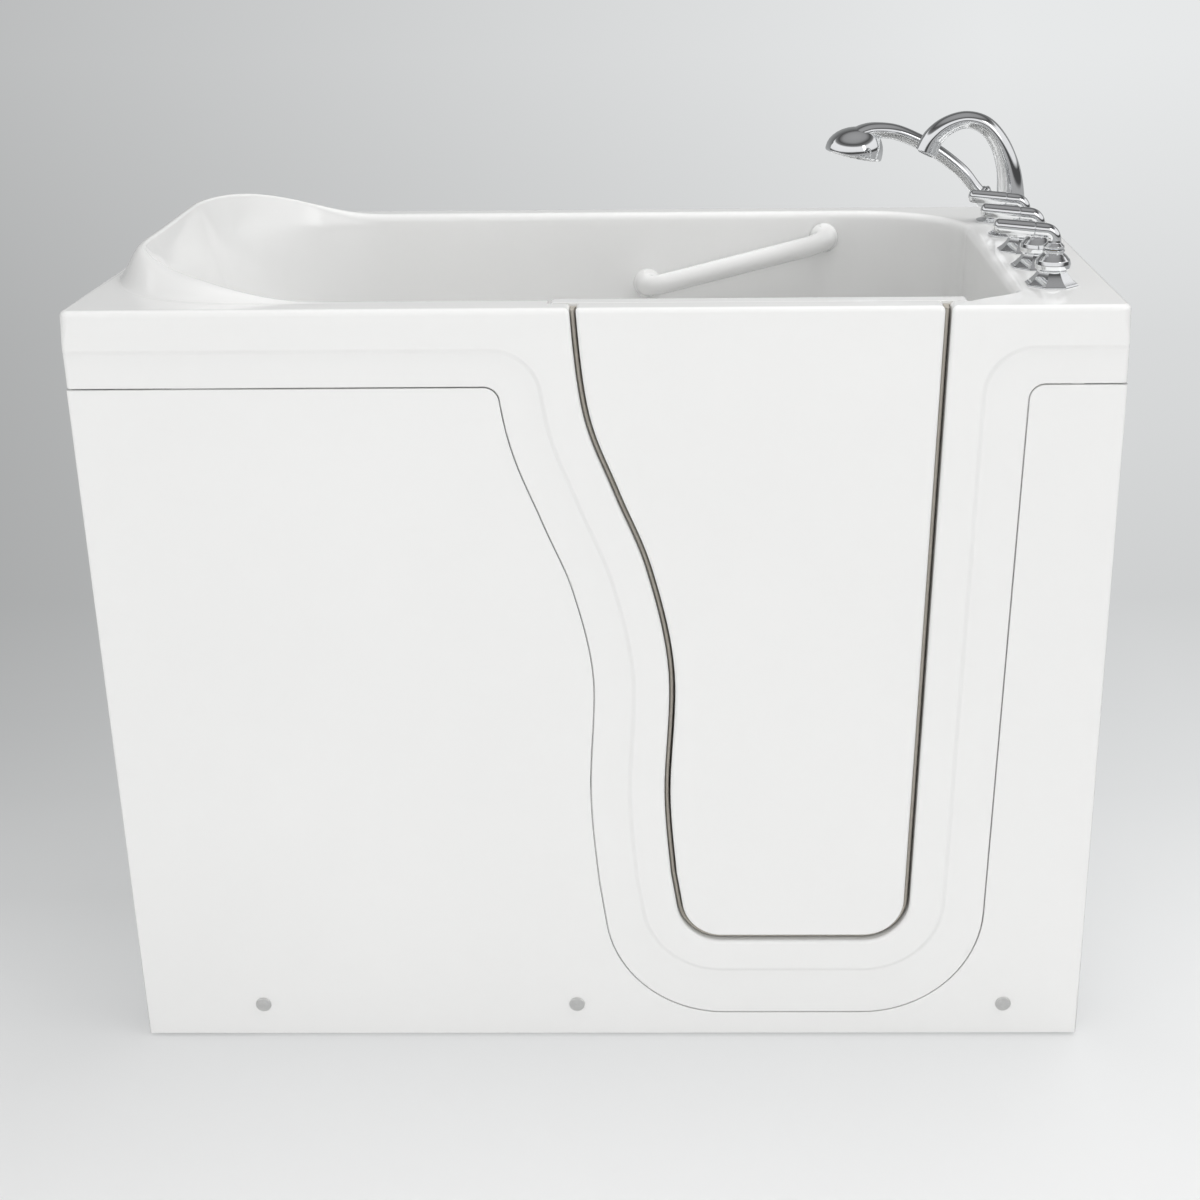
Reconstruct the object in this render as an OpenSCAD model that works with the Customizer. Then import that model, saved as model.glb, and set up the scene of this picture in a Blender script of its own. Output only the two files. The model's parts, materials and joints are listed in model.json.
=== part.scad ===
// Walk-in bathtub with an inward-swinging door, a moulded seat and headrest, a front
// access panel, a steel frame on levelling feet, deck-mounted taps and its waste.
// +Z is up, the front faces -Y, the origin is on the floor under the middle of the tub.

/* [Tub] */
// Length over the front panel
tub_l = 1346; // [1240:1:1500]
// Width, front to back
tub_w = 762; // [740:1:860]
// Height of the rim above the floor
rim_z = 1067; // [1000:1:1120]
// Thickness of the moulded shell
skin = 6; // [4:0.5:8]
// Width of the deck that carries the taps
deck_r = 135; // [125:1:160]
// Width of the deck outside the headrest
deck_l = 73; // [70:1:90]
// Width of the front rim
rim_front = 61; // [56:1:70]
// Width of the back rim
rim_back = 46; // [40:1:70]
// Height of the proud band under the rim
band_h = 53; // [40:1:70]
// How far the band and the door surround stand proud
raise_t = 3; // [1:0.5:5]
// Height of the headrest above the rim
hump_h = 46; // [30:1:60]
// Length over which the headrest rises
hump_run = 190; // [160:1:220]

/* [Basin] */
// Height of the seat above the floor
seat_z = 540; // [480:1:560]
// Length of the footwell, from the seat's front edge to the door's hinge edge
foot_l = 411.5; // [404:0.5:440]
// Height of the footwell floor
well_z = 102; // [100:1:112]
// How far the backrest leans back between seat and rim
back_lean = 150; // [110:1:180]
// Corner radius at the headrest end
corner_l = 225; // [180:1:235]
// Corner radius behind the taps
corner_r = 160; // [120:1:180]

/* [Door] */
// From the hinge edge of the door at the rim to the tub's end
door_side = 229.5; // [223:0.5:237]
// How far the hinge edge leans in towards the sill
hinge_lean = 24; // [10:1:30]
// Width of the door at the rim
door_w = 469.5; // [440:0.5:500]
// Width of the door beside the seat
door_w_low = 350; // [330:1:365]
// Height of the sill
sill_z = 163.5; // [155:0.5:175]
// Corner radius at the foot of the door
door_r = 60; // [45:1:70]
// Gap round the door
door_gap = 8; // [7:0.5:10]
// Thickness of the door
door_t = 63; // [58:1:66]
// Depth of the opening's outer edge in front of the rebate
jamb_t = 31; // [26:1:34]
// How far the door's inner flange overlaps the opening
lap = 30; // [26:1:34]
// Thickness of the door's gasket
gasket_t = 4; // [3:0.5:6]
// Wall of the door's two shells
door_skin = 5; // [3:0.5:6]
// Width of the surround, from the door gap to the panel seam
surround_w = 106; // [90:1:115]
// Width of the surround's proud inner part
proud_w = 40; // [30:1:60]

/* [Front panel] */
// Thickness of the front panel
panel_t = 6; // [4:0.5:8]
// Height of the seam between shell and panel
seam_z = 967; // [930:1:980]
// Width of the seam
seam_gap = 1.6; // [1:0.1:3]
// Gap under the panel
panel_foot = 4; // [3:0.5:8]
// Height of the panel screws
screw_z = 54; // [48:1:58]
// Width of a screw cap
cap_d = 22; // [18:0.5:26]

/* [Frame] */
// Side of the square frame tube
tube = 30; // [26:1:32]
// Wall of the frame tube
tube_wall = 2; // [1.5:0.5:3]
// Radius of a levelling stud
stud_r = 6; // [5:0.5:8]
// Radius of a foot pad
pad_r = 25; // [20:1:30]

/* [Taps] */
// Distance of the tap row from the end of the tub
tap_in = 81; // [75:1:86]
// Distance between neighbouring taps
tap_pitch = 122; // [115:1:126]
// Position of the front tap, from the front
tap_front = 131; // [120:1:140]
// Height of a lever above the deck
lever_h = 78; // [72:1:86]
// Reach of a lever from its axis
lever_l = 79; // [60:1:88]
// Height of the spout above the deck
spout_h = 180; // [160:1:200]
// Radius of a tap's bell at the deck
bell_r = 33; // [28:0.5:36]
// Radius of a tap's spindle
spindle_r = 6; // [5:0.25:7]
// Running clearance of a spindle, pin or stem in its bore
run_gap = 0.06; // [0.02:0.01:0.1]

/* [Waste] */
// From the middle of the drain to the tub's end
drain_side = 373; // [353:1:388]
// Drain centre, from the middle of the tub across its width
drain_y = 60; // [50:1:70]
// Radius of the drain's flange
drain_r = 36; // [32:0.5:40]
// Radius of the waste pipe
pipe_r = 20; // [16:0.5:22]
// Height of the overflow above the floor
overflow_z = 865; // [840:1:880]

/* [Grab bar] */
// Length of the grab bar between its posts
bar_l = 292; // [240:1:320]
// Tilt of the grab bar
bar_tilt = 14; // [0:1:20]
// Radius of the grab bar
bar_r = 15.5; // [13:0.5:18]
// Middle of the grab bar, from the middle of the tub
bar_x = 190; // [160:1:210]
// Height of the grab bar's middle above the floor
bar_z = 991; // [960:1:995]
// Distance of the grab bar's middle line from the back wall
bar_off = 42; // [36:1:50]

/* [Hidden] */
$fn = 48;

gelcoat = "whitesmoke";
chrome = "silver";
steel = "slategray";

// Planes and edges that several pieces share
half_l = tub_l / 2;
hinge_x = half_l - door_side;
seat_x = hinge_x - foot_l;
drain_x = half_l - drain_side;
half_w = tub_w / 2;
face_y = -half_w + raise_t;           // front of the flange and of the panel
panel_back = face_y + panel_t;
inner_y = -half_w + rim_front;        // inside of the front wall
rebate_y = -half_w + jamb_t;          // the gasket closes against this face
flange_y = rebate_y + gasket_t;       // front of the door's inner flange
door_in_y = -half_w + door_t;         // inside of the door
band_z = rim_z - band_h;
edge_r = 8;                           // rounding of the rim's outer edge
lip_r = 12;                           // rounding of the well's edge
corner_pts = 11;                      // steps in each corner of a ring

// Inside of the well at a height z
side_draft = 0.018;
back_draft = 0.03;
lean = back_lean / (rim_z - seat_z);
function well_x0(z) = -half_l + deck_l + lean * (rim_z - z);
function well_x1(z) = half_l - deck_r - side_draft * (rim_z - z);
function well_y1(z) = half_w - rim_back - back_draft * (rim_z - z);
function soft(t) = let (u = max(0, min(1, t))) u * u * (3 - 2 * u);
function hump(x) = hump_h * soft((-half_l + deck_l + hump_run - x) / hump_run);

// A ring of points round a rectangle with four corner radii, anticlockwise from the front left
function arc(cx, cy, r, a0, n) = [for (k = [0:n]) let (a = a0 + 90 * k / n)
    [cx + r * cos(a), cy + r * sin(a)]];
function box_ring(x0, x1, y0, y1, r, n = corner_pts) = concat(
    arc(x0 + r[0], y0 + r[0], r[0], 180, n), arc(x1 - r[1], y0 + r[1], r[1], 270, n),
    arc(x1 - r[2], y1 - r[2], r[2], 0, n), arc(x0 + r[3], y1 - r[3], r[3], 90, n));
function lift(ring, z) = [for (p = ring) [p[0], p[1], z]];
// The corner beside the hinges runs at 45 degrees between two small arcs, in one upright plane;
// u is the ring's offset
slant_cut = 33;
slant_round = 20;
slant_x0 = half_l - deck_r - slant_cut;
function half_arc(cx, cy, r, a0) = [for (k = [0:5]) [cx + r * cos(a0 + 9 * k), cy + r * sin(a0 + 9 * k)]];
function slant_corner(x1, y0, u) = let (c = max(6, x1 - u - slant_x0) + 0.586 * u,
    r = max(1, min(slant_round, c) + u), k = 0.414 * r)
    concat(half_arc(x1 - c - k, y0 + r, r, 270), half_arc(x1 - r, y0 + c + k, r, 315));
function basin_ring(x0, x1, y0, y1, r, u) = concat(
    arc(x0 + r[0], y0 + r[0], r[0], 180, corner_pts), slant_corner(x1, y0, u),
    arc(x1 - r[1], y1 - r[1], r[1], 0, corner_pts), arc(x0 + r[2], y1 - r[2], r[2], 90, corner_pts));

// The well's outline at height z, moved outwards by u
function end_r(z) = corner_l * (1 - 0.4 * soft((rim_z - z) / (rim_z - seat_z)));
function tap_r(z) = corner_r * (1 - 0.3 * soft((rim_z - z) / (rim_z - seat_z)));
function well_ring(z, u) = basin_ring(well_x0(z) - u, well_x1(z) + u, inner_y - u,
    well_y1(z) + u, [end_r(z) + u, tap_r(z) + u, end_r(z) + u], u);

// Rings of the rim's section: u outwards from the well's edge, w up from the deck, h the headrest's height
edge_ring = well_ring(rim_z, 0);
function crest_u(h) = lip_r + 0.12 * h;
function foot_u(h) = 22 + 0.8 * h;
function slope_u(h, t) = crest_u(h) + t * (foot_u(h) - crest_u(h));
function rim_point(h, k) =
    k == 0 ? [foot_u(h), 0] :
    k == 1 ? [slope_u(h, 0.78), 0.2 * h] :
    k == 2 ? [slope_u(h, 0.5), 0.62 * h] :
    k == 3 ? [slope_u(h, 0.22), 0.93 * h] :
    k == 4 ? [crest_u(h), h] :
    k == 5 ? [3.5 + 0.1 * h, h - 3.5] :
    k == 6 ? [0.06 * h, h - lip_r] :
    k == 7 ? [skin + 0.06 * h, h - lip_r - 3] :
    k == 8 ? [crest_u(h), h - skin - 3] :
    k == 9 ? [slope_u(h, 0.5), 0.62 * h - skin - 3] :
    [slope_u(h, 0.78), -skin];
function rim_ring(k, out = 0) = [for (i = [0:len(edge_ring) - 1])
    let (h = hump(edge_ring[i][0]), q = rim_point(h, k), p = well_ring(rim_z, q[0] + out)[i])
    [p[0], p[1], rim_z + q[1]]];
function outer_ring(hx, hy, z, r = 14) = lift(box_ring(-hx, hx, -hy, hy, [r, r, r, r]), z);

// Solids between rings: open ends are capped, or the last ring joins the first
function side_faces(n, rows) = [for (i = [0:rows - 1], k = [0:n - 1])
    let (a = i * n + k, b = i * n + (k + 1) % n) each [[a, a + n, b + n], [a, b + n, b]]];
module loft(rings) {
    n = len(rings[0]);
    m = len(rings);
    polyhedron([for (r = rings) each r], concat(side_faces(n, m - 1),
        [for (k = [1:n - 2]) [0, k, k + 1]],
        [for (k = [1:n - 2]) [(m - 1) * n, (m - 1) * n + k + 1, (m - 1) * n + k]]));
}
module closed_loft(rings) {
    n = len(rings[0]);
    m = len(rings);
    total = n * m;
    polyhedron([for (r = rings) each r],
        [for (f = side_faces(n, m)) [f[0] % total, f[1] % total, f[2] % total]]);
}

// A curve through points, and a tube swept along one in the XZ plane
function blend4(a, b, c, d, t) = 0.5 * (2 * b + (c - a) * t + (2 * a - 5 * b + 4 * c - d) * t * t
    + (3 * b - a - 3 * c + d) * t * t * t);
function curve(pts, steps) = concat([for (i = [0:len(pts) - 2], k = [0:steps - 1])
    blend4(pts[max(i - 1, 0)], pts[i], pts[i + 1], pts[min(i + 2, len(pts) - 1)], k / steps)],
    [pts[len(pts) - 1]]);
function along(pts, i) = let (v = pts[min(i + 1, len(pts) - 1)] - pts[max(i - 1, 0)]) v / norm(v);
// Each point of the curve is [x, z, half thickness in the plane, half width across it]
module swept(pts, sides) {
    path = [for (p = pts) [p[0], p[1]]];
    loft([for (i = [0:len(pts) - 1]) let (t = along(path, i))
        [for (k = [0:sides - 1]) let (c = cos(360 * k / sides), s = sin(360 * k / sides))
            [path[i][0] + t[1] * pts[i][2] * c, pts[i][3] * s, path[i][1] - t[0] * pts[i][2] * c]]]);
}

// A flat outline in the XZ plane, given depth from y0 back to y1
module upright(y0, y1) translate([0, y1, 0]) rotate([90, 0, 0]) linear_extrude(y1 - y0) children();
module bar_x(x0, x1, y, z, r) translate([x0, y, z]) rotate([0, 90, 0]) cylinder(r = r, h = x1 - x0);
module bar_y(x, y0, y1, z, r) translate([x, y0, z]) rotate([-90, 0, 0]) cylinder(r = r, h = y1 - y0);
module bar_up(x, y, z0, z1, r) translate([x, y, z0]) cylinder(r = r, h = z1 - z0);
module block(lo, hi) translate(lo) cube(hi - lo);
module tube_up(x, y, z0, z1, r, wall) difference() {
    bar_up(x, y, z0, z1, r);
    bar_up(x, y, z0 - 1, z1 + 1, r - wall);
}

// ---------------------------------------------------------------- outlines of the front
// Middle of the door gap on the free side: share of the height from sill to rim, share of the extra width
door_steps = [[1.1, 1], [1, 1], [0.848, 0.883], [0.733, 0.576], [0.613, 0.23],
    [0.452, 0], [0.254, 0.063], [0.115, 0]];
door_rise = rim_z - sill_z;
foot_in = 16;                         // how far the free edge runs in on its last stretch
function hinge_edge(share) = hinge_x - hinge_lean * (1 - share);
function unit(v) = v / norm(v);
function outward(v) = unit([v[1], -v[0]]);
function round_centre(a, b, c, r) = let (u = unit(a - b), v = unit(c - b))
    b + unit(u + v) * r / sin(acos(u * v) / 2);
// The gap's middle line as [point, outward direction], from the free edge's top round the sill to the hinges
function door_nodes(drop = 0) = let (
    low = sill_z - drop,
    free = [for (s = curve(door_steps, 5))
        [hinge_x - door_w_low - (door_w - door_w_low) * s[1], sill_z + door_rise * s[0]]],
    m = len(free) - 1,
    foot = [hinge_x - door_w_low + foot_in, low],
    heel = [hinge_edge(-drop / door_rise), low],
    top = [hinge_edge(1.1), sill_z + 1.1 * door_rise],
    side_f = outward(foot - free[m]),
    side_h = outward(top - heel),
    af = atan2(side_f[1], side_f[0]) + (side_f[1] > 0 ? 0 : 360),
    ah = atan2(side_h[1], side_h[0]) + 360,
    of = round_centre(free[m], foot, heel, door_r),
    oh = round_centre(foot, heel, top, door_r))
    concat([for (i = [0:m]) [free[i], outward((i < m ? free[i + 1] : foot) - free[max(i - 1, 0)])]],
        [for (k = [0:10]) let (a = af + (270 - af) * k / 10, n = [cos(a), sin(a)]) [of + door_r * n, n]],
        [for (k = [0:10]) let (a = 270 + (ah - 270) * k / 10, n = [cos(a), sin(a)]) [oh + door_r * n, n]],
        [[top, side_h]]);
function mix(a, b, t) = a + (b - a) * t;
function reach_z(nodes, w, z) = [for (i = [0:len(nodes) - 2])
    let (a = nodes[i][0] + w * nodes[i][1], b = nodes[i + 1][0] + w * nodes[i + 1][1])
    if ((a[1] - z) * (b[1] - z) <= 0 && a[1] != b[1])
        let (t = (z - a[1]) / (b[1] - a[1])) [mix(a, b, t), unit(mix(nodes[i][1], nodes[i + 1][1], t))]];
// The door's outline moved outwards by w and cut off at the height top
module door_shape(w, top = rim_z, drop = 0) {
    nodes = door_nodes(drop);
    ends = reach_z(nodes, w, top);
    polygon(concat([ends[0][0]],
        [for (q = nodes) let (p = q[0] + w * q[1]) if (p[1] < top - 0.5) p],
        [ends[len(ends) - 1][0]]));
}
// A line along the front at height z that dips round the door at a distance w, with corners of radius r
function dipped(z, w, r, drop = 0) = let (
    nodes = door_nodes(drop),
    ends = reach_z(nodes, w + r, z - r),
    first = ends[0],
    last = ends[len(ends) - 1],
    a = atan2(-first[1][1], -first[1][0]),
    b = atan2(-last[1][1], -last[1][0]),
    c = b < 0 ? b + 360 : b,
    low = first[0][1] + r * sin(a))
    concat([for (k = [0:6]) let (t = mix(90, a, k / 6)) first[0] + r * [cos(t), sin(t)]],
        [for (q = nodes) let (p = q[0] + w * q[1]) if (p[1] < low - 2) p],
        [for (k = [0:6]) let (t = mix(c, 90, k / 6)) last[0] + r * [cos(t), sin(t)]]);
seam_r = 13;
surround_drop = 17;
face_hx = half_l - 20;                // reach of the thicker faces, inside the rim's rounded corners
module shell_face() polygon(concat([[-face_hx, rim_z - edge_r], [-face_hx, seam_z]],
    dipped(seam_z, surround_w, seam_r, surround_drop), [[face_hx, seam_z], [face_hx, rim_z - edge_r]]));
proud_r = 34;
module proud_face() polygon(concat([[-face_hx, rim_z - edge_r], [-face_hx, band_z]],
    dipped(band_z, proud_w, proud_r), [[face_hx, band_z], [face_hx, rim_z - edge_r]]));
// Plan of the pocket beside the hinges: its slanting wall runs at 45 degrees
slant = slant_x0 - inner_y;
slant_x = well_x1(sill_z) - 2;
module hinge_pocket() translate([0, 0, sill_z - lap - 4]) linear_extrude(rim_z)
    polygon([[hinge_x - 100, rebate_y], [slant + rebate_y, rebate_y], [slant_x, slant_x - slant],
        [slant_x, inner_y + 30], [hinge_x - 100, inner_y + 30]]);

// ---------------------------------------------------------------- moulded shell
join_z = seat_z + 60;
flange_hx = half_l - 2;
flange_r = 6;                         // corners of the flange and the band; the top's are rounder
wall_steps = [40, 130, 240, 360];
module rim_sheet() {
    fall = rim_z - join_z;
    walls = [for (s = wall_steps) if (s < fall - 30) s];
    closed_loft(concat(
        [outer_ring(flange_hx, half_w - raise_t, seam_z, flange_r),
         outer_ring(flange_hx - 1.5, half_w - raise_t, band_z - 1, flange_r),
         outer_ring(flange_hx - 0.5, half_w, band_z + 1, flange_r),
         outer_ring(flange_hx - 2, half_w, rim_z - edge_r, flange_r + 2),
         outer_ring(flange_hx - 4.5, half_w - 3.5, rim_z - edge_r * 0.3, flange_r + 5),
         outer_ring(flange_hx - edge_r - 2, half_w - edge_r - 1, rim_z)],
        [for (k = [0:6]) rim_ring(k)],
        [for (s = walls) lift(well_ring(rim_z - s, 0), rim_z - s)],
        [lift(well_ring(join_z, 0), join_z), lift(well_ring(join_z, skin), join_z)],
        [for (i = [1:len(walls)]) let (z = rim_z - walls[len(walls) - i]) lift(well_ring(z, skin), z)],
        [for (k = [7:10]) rim_ring(k)],
        [outer_ring(flange_hx - skin, half_w - raise_t - skin, rim_z - skin, 10),
         outer_ring(flange_hx - skin, half_w - raise_t - skin, seam_z, 10)]));
}
// The space inside the rim, grown by out
module upper_void(out) loft(concat(
    [lift(well_ring(join_z - 1, out), join_z - 1)],
    [for (i = [1:len(wall_steps)]) let (s = wall_steps[len(wall_steps) - i])
        if (s < rim_z - join_z - 30) lift(well_ring(rim_z - s, out), rim_z - s)],
    [rim_ring(6, out), rim_ring(4, out)],
    [[for (p = rim_ring(4, out)) [p[0], p[1], rim_z + hump_h + 20]]]));

// Seat tray and footwell, grown by out on every side
seat_r = 40;
floor_r = 22;
nose_r = 24;
riser_draft = 0.04;
riser_front_r = 10;
riser_rear_r = 52;
// Front of the seat, with its rounded nose; above the seat the line slants into the walls
function riser_x(z) = z > seat_z ? seat_x - nose_r + 1.4 * (z - seat_z) :
    seat_x + riser_draft * (seat_z - z)
    - (z > seat_z - nose_r ? nose_r - sqrt(nose_r * nose_r - pow(z - seat_z + nose_r, 2)) : 0);
module seat_tray(out) {
    steps = [for (a = [0:22.5:90]) a];
    loft(concat(
        [for (a = steps) lift(well_ring(seat_z + seat_r * (1 - cos(a)), out - seat_r * (1 - sin(a))),
            seat_z - out + (seat_r + out) * (1 - cos(a)))],
        [lift(well_ring(join_z, out), join_z + (out > 0 ? 0 : 1))]));
}
function foot_ring(z, u, height) = lift(basin_ring(riser_x(z) - u, well_x1(z) + u, inner_y - u,
    well_y1(z) + u, [max(2, riser_front_r + u), tap_r(z) + u, riser_rear_r + u], u), height);
module footwell(out) {
    top = seat_z + seat_r;
    levels = [well_z + 120, seat_z - 150, seat_z - nose_r, seat_z - nose_r * 0.6,
        seat_z - nose_r * 0.3, seat_z - nose_r * 0.1, seat_z, top];
    loft(concat(
        [for (a = [0:22.5:90]) foot_ring(well_z + floor_r * (1 - cos(a)), out - floor_r * (1 - sin(a)),
            well_z - out + (floor_r + out) * (1 - cos(a)))],
        [for (z = levels) foot_ring(z, out, z)]));
}

core_w = proud_w + 8;
hinge_block_x = half_l - deck_r + 12;
hinge_block_y = inner_y + slant_cut + 12;
proud_step = 0.3;                     // the surround stands this far behind the band
module hinge_block() polygon([[hinge_edge(0) - 10, sill_z - core_w], [hinge_block_x, sill_z - core_w],
    [hinge_block_x, rim_z - 3], [hinge_edge(0) - 10, rim_z - 3]]);
module door_frame() {
    upright(-half_w + proud_step, face_y + 1) proud_face();
    upright(face_y, panel_back) shell_face();
    upright(panel_back - 1, inner_y - 2) door_shape(core_w, rim_z - 3);
    difference() {
        union() {
            upright(panel_back + 1, hinge_block_y) hinge_block();
            upright(panel_back - 1, panel_back + 2) intersection() {
                hinge_block();
                door_shape(surround_w - 4, rim_z - 5);
            }
        }
        seat_tray(2);
        footwell(2);
        upper_void(2);
    }
}
tap_x = half_l - tap_in;
function tap_y(i) = -half_w + tap_front + i * tap_pitch;
tap_hole_r = 14;
wall_x = well_x1(overflow_z);
drain_hole_r = 26;
overflow_hole_r = 25;
bar_hole_r = 5;
function bar_end(side) = [bar_x + side * bar_l / 2 * cos(bar_tilt), bar_z + side * bar_l / 2 * sin(bar_tilt)];

// Thicker pads moulded behind the skin where something is bolted through it
pad_t = 4;
module pad(r) hull() {
    cylinder(r = r + pad_t, h = 1, $fn = 24);
    cylinder(r = r, h = pad_t + 1, $fn = 24);
}
module on_back_wall(side) translate([bar_end(side)[0], well_y1(bar_end(side)[1]), bar_end(side)[1]])
    rotate([-atan(back_draft), 0, 0]) rotate([-90, 0, 0]) children();
module on_side_wall() translate([wall_x, drain_y, overflow_z]) rotate([0, atan(side_draft), 0])
    rotate([0, 90, 0]) children();
module tub_shell() color(gelcoat) difference() {
    union() {
        rim_sheet();
        difference() {
            union() {
                seat_tray(skin);
                footwell(skin);
            }
            seat_tray(0);
            footwell(0);
        }
        door_frame();
        for (i = [0:4])
            translate([tap_x, tap_y(i), rim_z - skin + 1]) mirror([0, 0, 1]) pad(30);
        for (side = [-1, 1])
            on_back_wall(side) translate([0, 0, skin - 1]) pad(22);
        on_side_wall() translate([0, 0, skin - 1]) pad(36);
    }
    upright(-half_w - 1, inner_y + 20) door_shape(door_gap / 2, rim_z + hump_h);
    upright(rebate_y, inner_y + 45) door_shape(lap + 4, rim_z + hump_h);
    hinge_pocket();
    for (i = [0:4])
        bar_up(tap_x, tap_y(i), rim_z - 20, rim_z + 5, tap_hole_r);
    bar_up(drain_x, drain_y, well_z - skin - 5, well_z + 5, drain_hole_r);
    on_side_wall() translate([0, 0, -10]) cylinder(r = overflow_hole_r, h = 40);
    for (side = [-1, 1])
        on_back_wall(side) translate([0, 0, -10]) cylinder(r = bar_hole_r, h = 40);
}

// ---------------------------------------------------------------- front panel
screw_xs = [-half_l + 171, -half_l + 625, half_l - 108];
module panel_outline() polygon(concat([[-half_l, panel_foot], [-half_l, seam_z - seam_gap]],
    dipped(seam_z - seam_gap, surround_w + seam_gap, seam_r - seam_gap, surround_drop),
    [[half_l, seam_z - seam_gap], [half_l, panel_foot]]));
return_d = 26;
screw_r = 3;
module front_panel() color(gelcoat) difference() {
    union() {
        upright(face_y, panel_back) panel_outline();
        for (side = [0, 1])
            mirror([side, 0, 0])
                block([-half_l, panel_back, panel_foot],
                    [-half_l + panel_t, face_y + return_d, seam_z - seam_gap]);
    }
    for (x = screw_xs)
        bar_y(x, face_y - 1, panel_back + 1, screw_z, screw_r + 0.3);
}
rail_front = panel_back;
rail_z = screw_z + 12 - tube;
module panel_screws() color(steel) for (x = screw_xs) {
    bar_y(x, face_y - 1.6, face_y, screw_z, screw_r + 4);
    bar_y(x, face_y, rail_front + tube_wall + 4, screw_z, screw_r);
}
cap_t = raise_t;
module screw_caps() color(chrome) for (x = screw_xs)
    difference() {
        union() {
            bar_y(x, face_y - cap_t + 1, face_y, screw_z, cap_d / 2);
            translate([x, face_y - cap_t + 1, screw_z]) rotate([90, 0, 0])
                cylinder(r1 = cap_d / 2, r2 = cap_d / 2 - 1.5, h = 1);
        }
        bar_y(x, face_y - 1.6, face_y + 1, screw_z, screw_r + 4);
    }
clip_end = 90;
clip_pitch = 235;
clip_xs = [clip_end - half_l, clip_end + clip_pitch - half_l, half_l - clip_end];
clip_hw = 20;
clip_t = 2;
clip_z = seam_z - 40;
module panel_clips() color(steel) for (x = clip_xs) {
    block([x - clip_hw, panel_back, clip_z], [x + clip_hw, panel_back + clip_t, seam_z + 25]);
    block([x - clip_hw, panel_back + clip_t, clip_z], [x + clip_hw, panel_back + 14, clip_z + clip_t]);
}

// ---------------------------------------------------------------- steel frame
rail_x = half_l - 18;
rail_y = -panel_back;
post_top = rim_z - skin;
cross_z = rail_z + tube;
foot_xs = [-half_l + 90, 0, half_l - 90];
foot_y = rail_y - tube - 27;
foot_plate_t = 5;
module square_tube(lo, hi, axis) difference() {
    block(lo, hi);
    block([for (i = [0:2]) lo[i] + (i == axis ? -1 : tube_wall)],
        [for (i = [0:2]) hi[i] - (i == axis ? -1 : tube_wall)]);
}
module base_rails() color(steel) for (side = [0, 1]) mirror([0, side, 0]) {
    difference() {
        square_tube([-rail_x, -rail_y, rail_z], [rail_x, -rail_y + tube, rail_z + tube], 0);
        if (side == 0)
            for (x = screw_xs)
                bar_y(x, -rail_y - 1, -rail_y + tube_wall + 1, screw_z, screw_r);
    }
    for (x = foot_xs)
        difference() {
            block([x - 30, -rail_y + tube, rail_z], [x + 30, -foot_y + pad_r, rail_z + foot_plate_t]);
            bar_up(x, -foot_y, rail_z - 1, rail_z + foot_plate_t + 1, stud_r + 0.5);
        }
}
module end_rails() color(steel) for (side = [0, 1]) mirror([side, 0, 0])
    square_tube([-rail_x, -rail_y + tube, rail_z], [-rail_x + tube, rail_y - tube, rail_z + tube], 1);
cross_gap = 80;                       // from the drain to the cross rail beside it
cross_pitch = 130;
cross_far = 200;
cross_xs = [drain_x - cross_gap - cross_pitch, drain_x - cross_gap, drain_x + cross_far];
cross_h = well_z - skin - cross_z;
module cross_rails() color(steel) for (x = cross_xs)
    square_tube([x - tube / 2, -rail_y, cross_z], [x + tube / 2, rail_y, cross_z + cross_h], 1);
seat_l = seat_x - well_x0(seat_z);
beam_shares = [0.79, 0.23];           // of the seat's length, from its front edge
beam_xs = [for (share = beam_shares) seat_x - share * seat_l];
beam_z = seat_z - skin - tube;
module frame_posts() color(steel) for (sy = [0, 1]) mirror([0, sy, 0]) {
    for (sx = [0, 1]) mirror([sx, 0, 0])
        square_tube([-rail_x, -rail_y, cross_z], [-rail_x + tube, -rail_y + tube, post_top], 2);
    for (x = beam_xs)
        square_tube([x - tube / 2, -rail_y, cross_z], [x + tube / 2, -rail_y + tube, beam_z], 2);
}
module seat_beams() color(steel) for (x = beam_xs)
    square_tube([x - tube / 2, -rail_y, beam_z], [x + tube / 2, rail_y, beam_z + tube], 1);
bolt_r = 4;
module frame_bolts() color(chrome) for (sy = [0, 1]) mirror([0, sy, 0])
    for (x = concat(beam_xs, cross_xs), dx = [-1, 1])
        translate([x + dx * (tube / 2 + 10), -rail_y + tube / 2, cross_z])
            cylinder(r = bolt_r * 1.8, h = 5, $fn = 6);
module foot_pads() color("dimgray") for (x = foot_xs, sy = [-1, 1])
    translate([x, sy * foot_y, 0]) {
        cylinder(r = pad_r, h = 5);
        translate([0, 0, 5]) cylinder(r1 = pad_r - 3, r2 = stud_r + 3, h = 5);
    }
stud_top = cross_z + 6;
module foot_studs() color(chrome) for (x = foot_xs, sy = [-1, 1])
    bar_up(x, sy * foot_y, 10, stud_top, stud_r);
nut_t = 8;
module foot_nuts() color(chrome) for (x = foot_xs, sy = [-1, 1], z = [rail_z - nut_t, rail_z + foot_plate_t])
    translate([x, sy * foot_y, z]) difference() {
        cylinder(r = stud_r * 1.85, h = nut_t, $fn = 6);
        translate([0, 0, -1]) cylinder(r = stud_r, h = nut_t + 2);
    }

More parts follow.
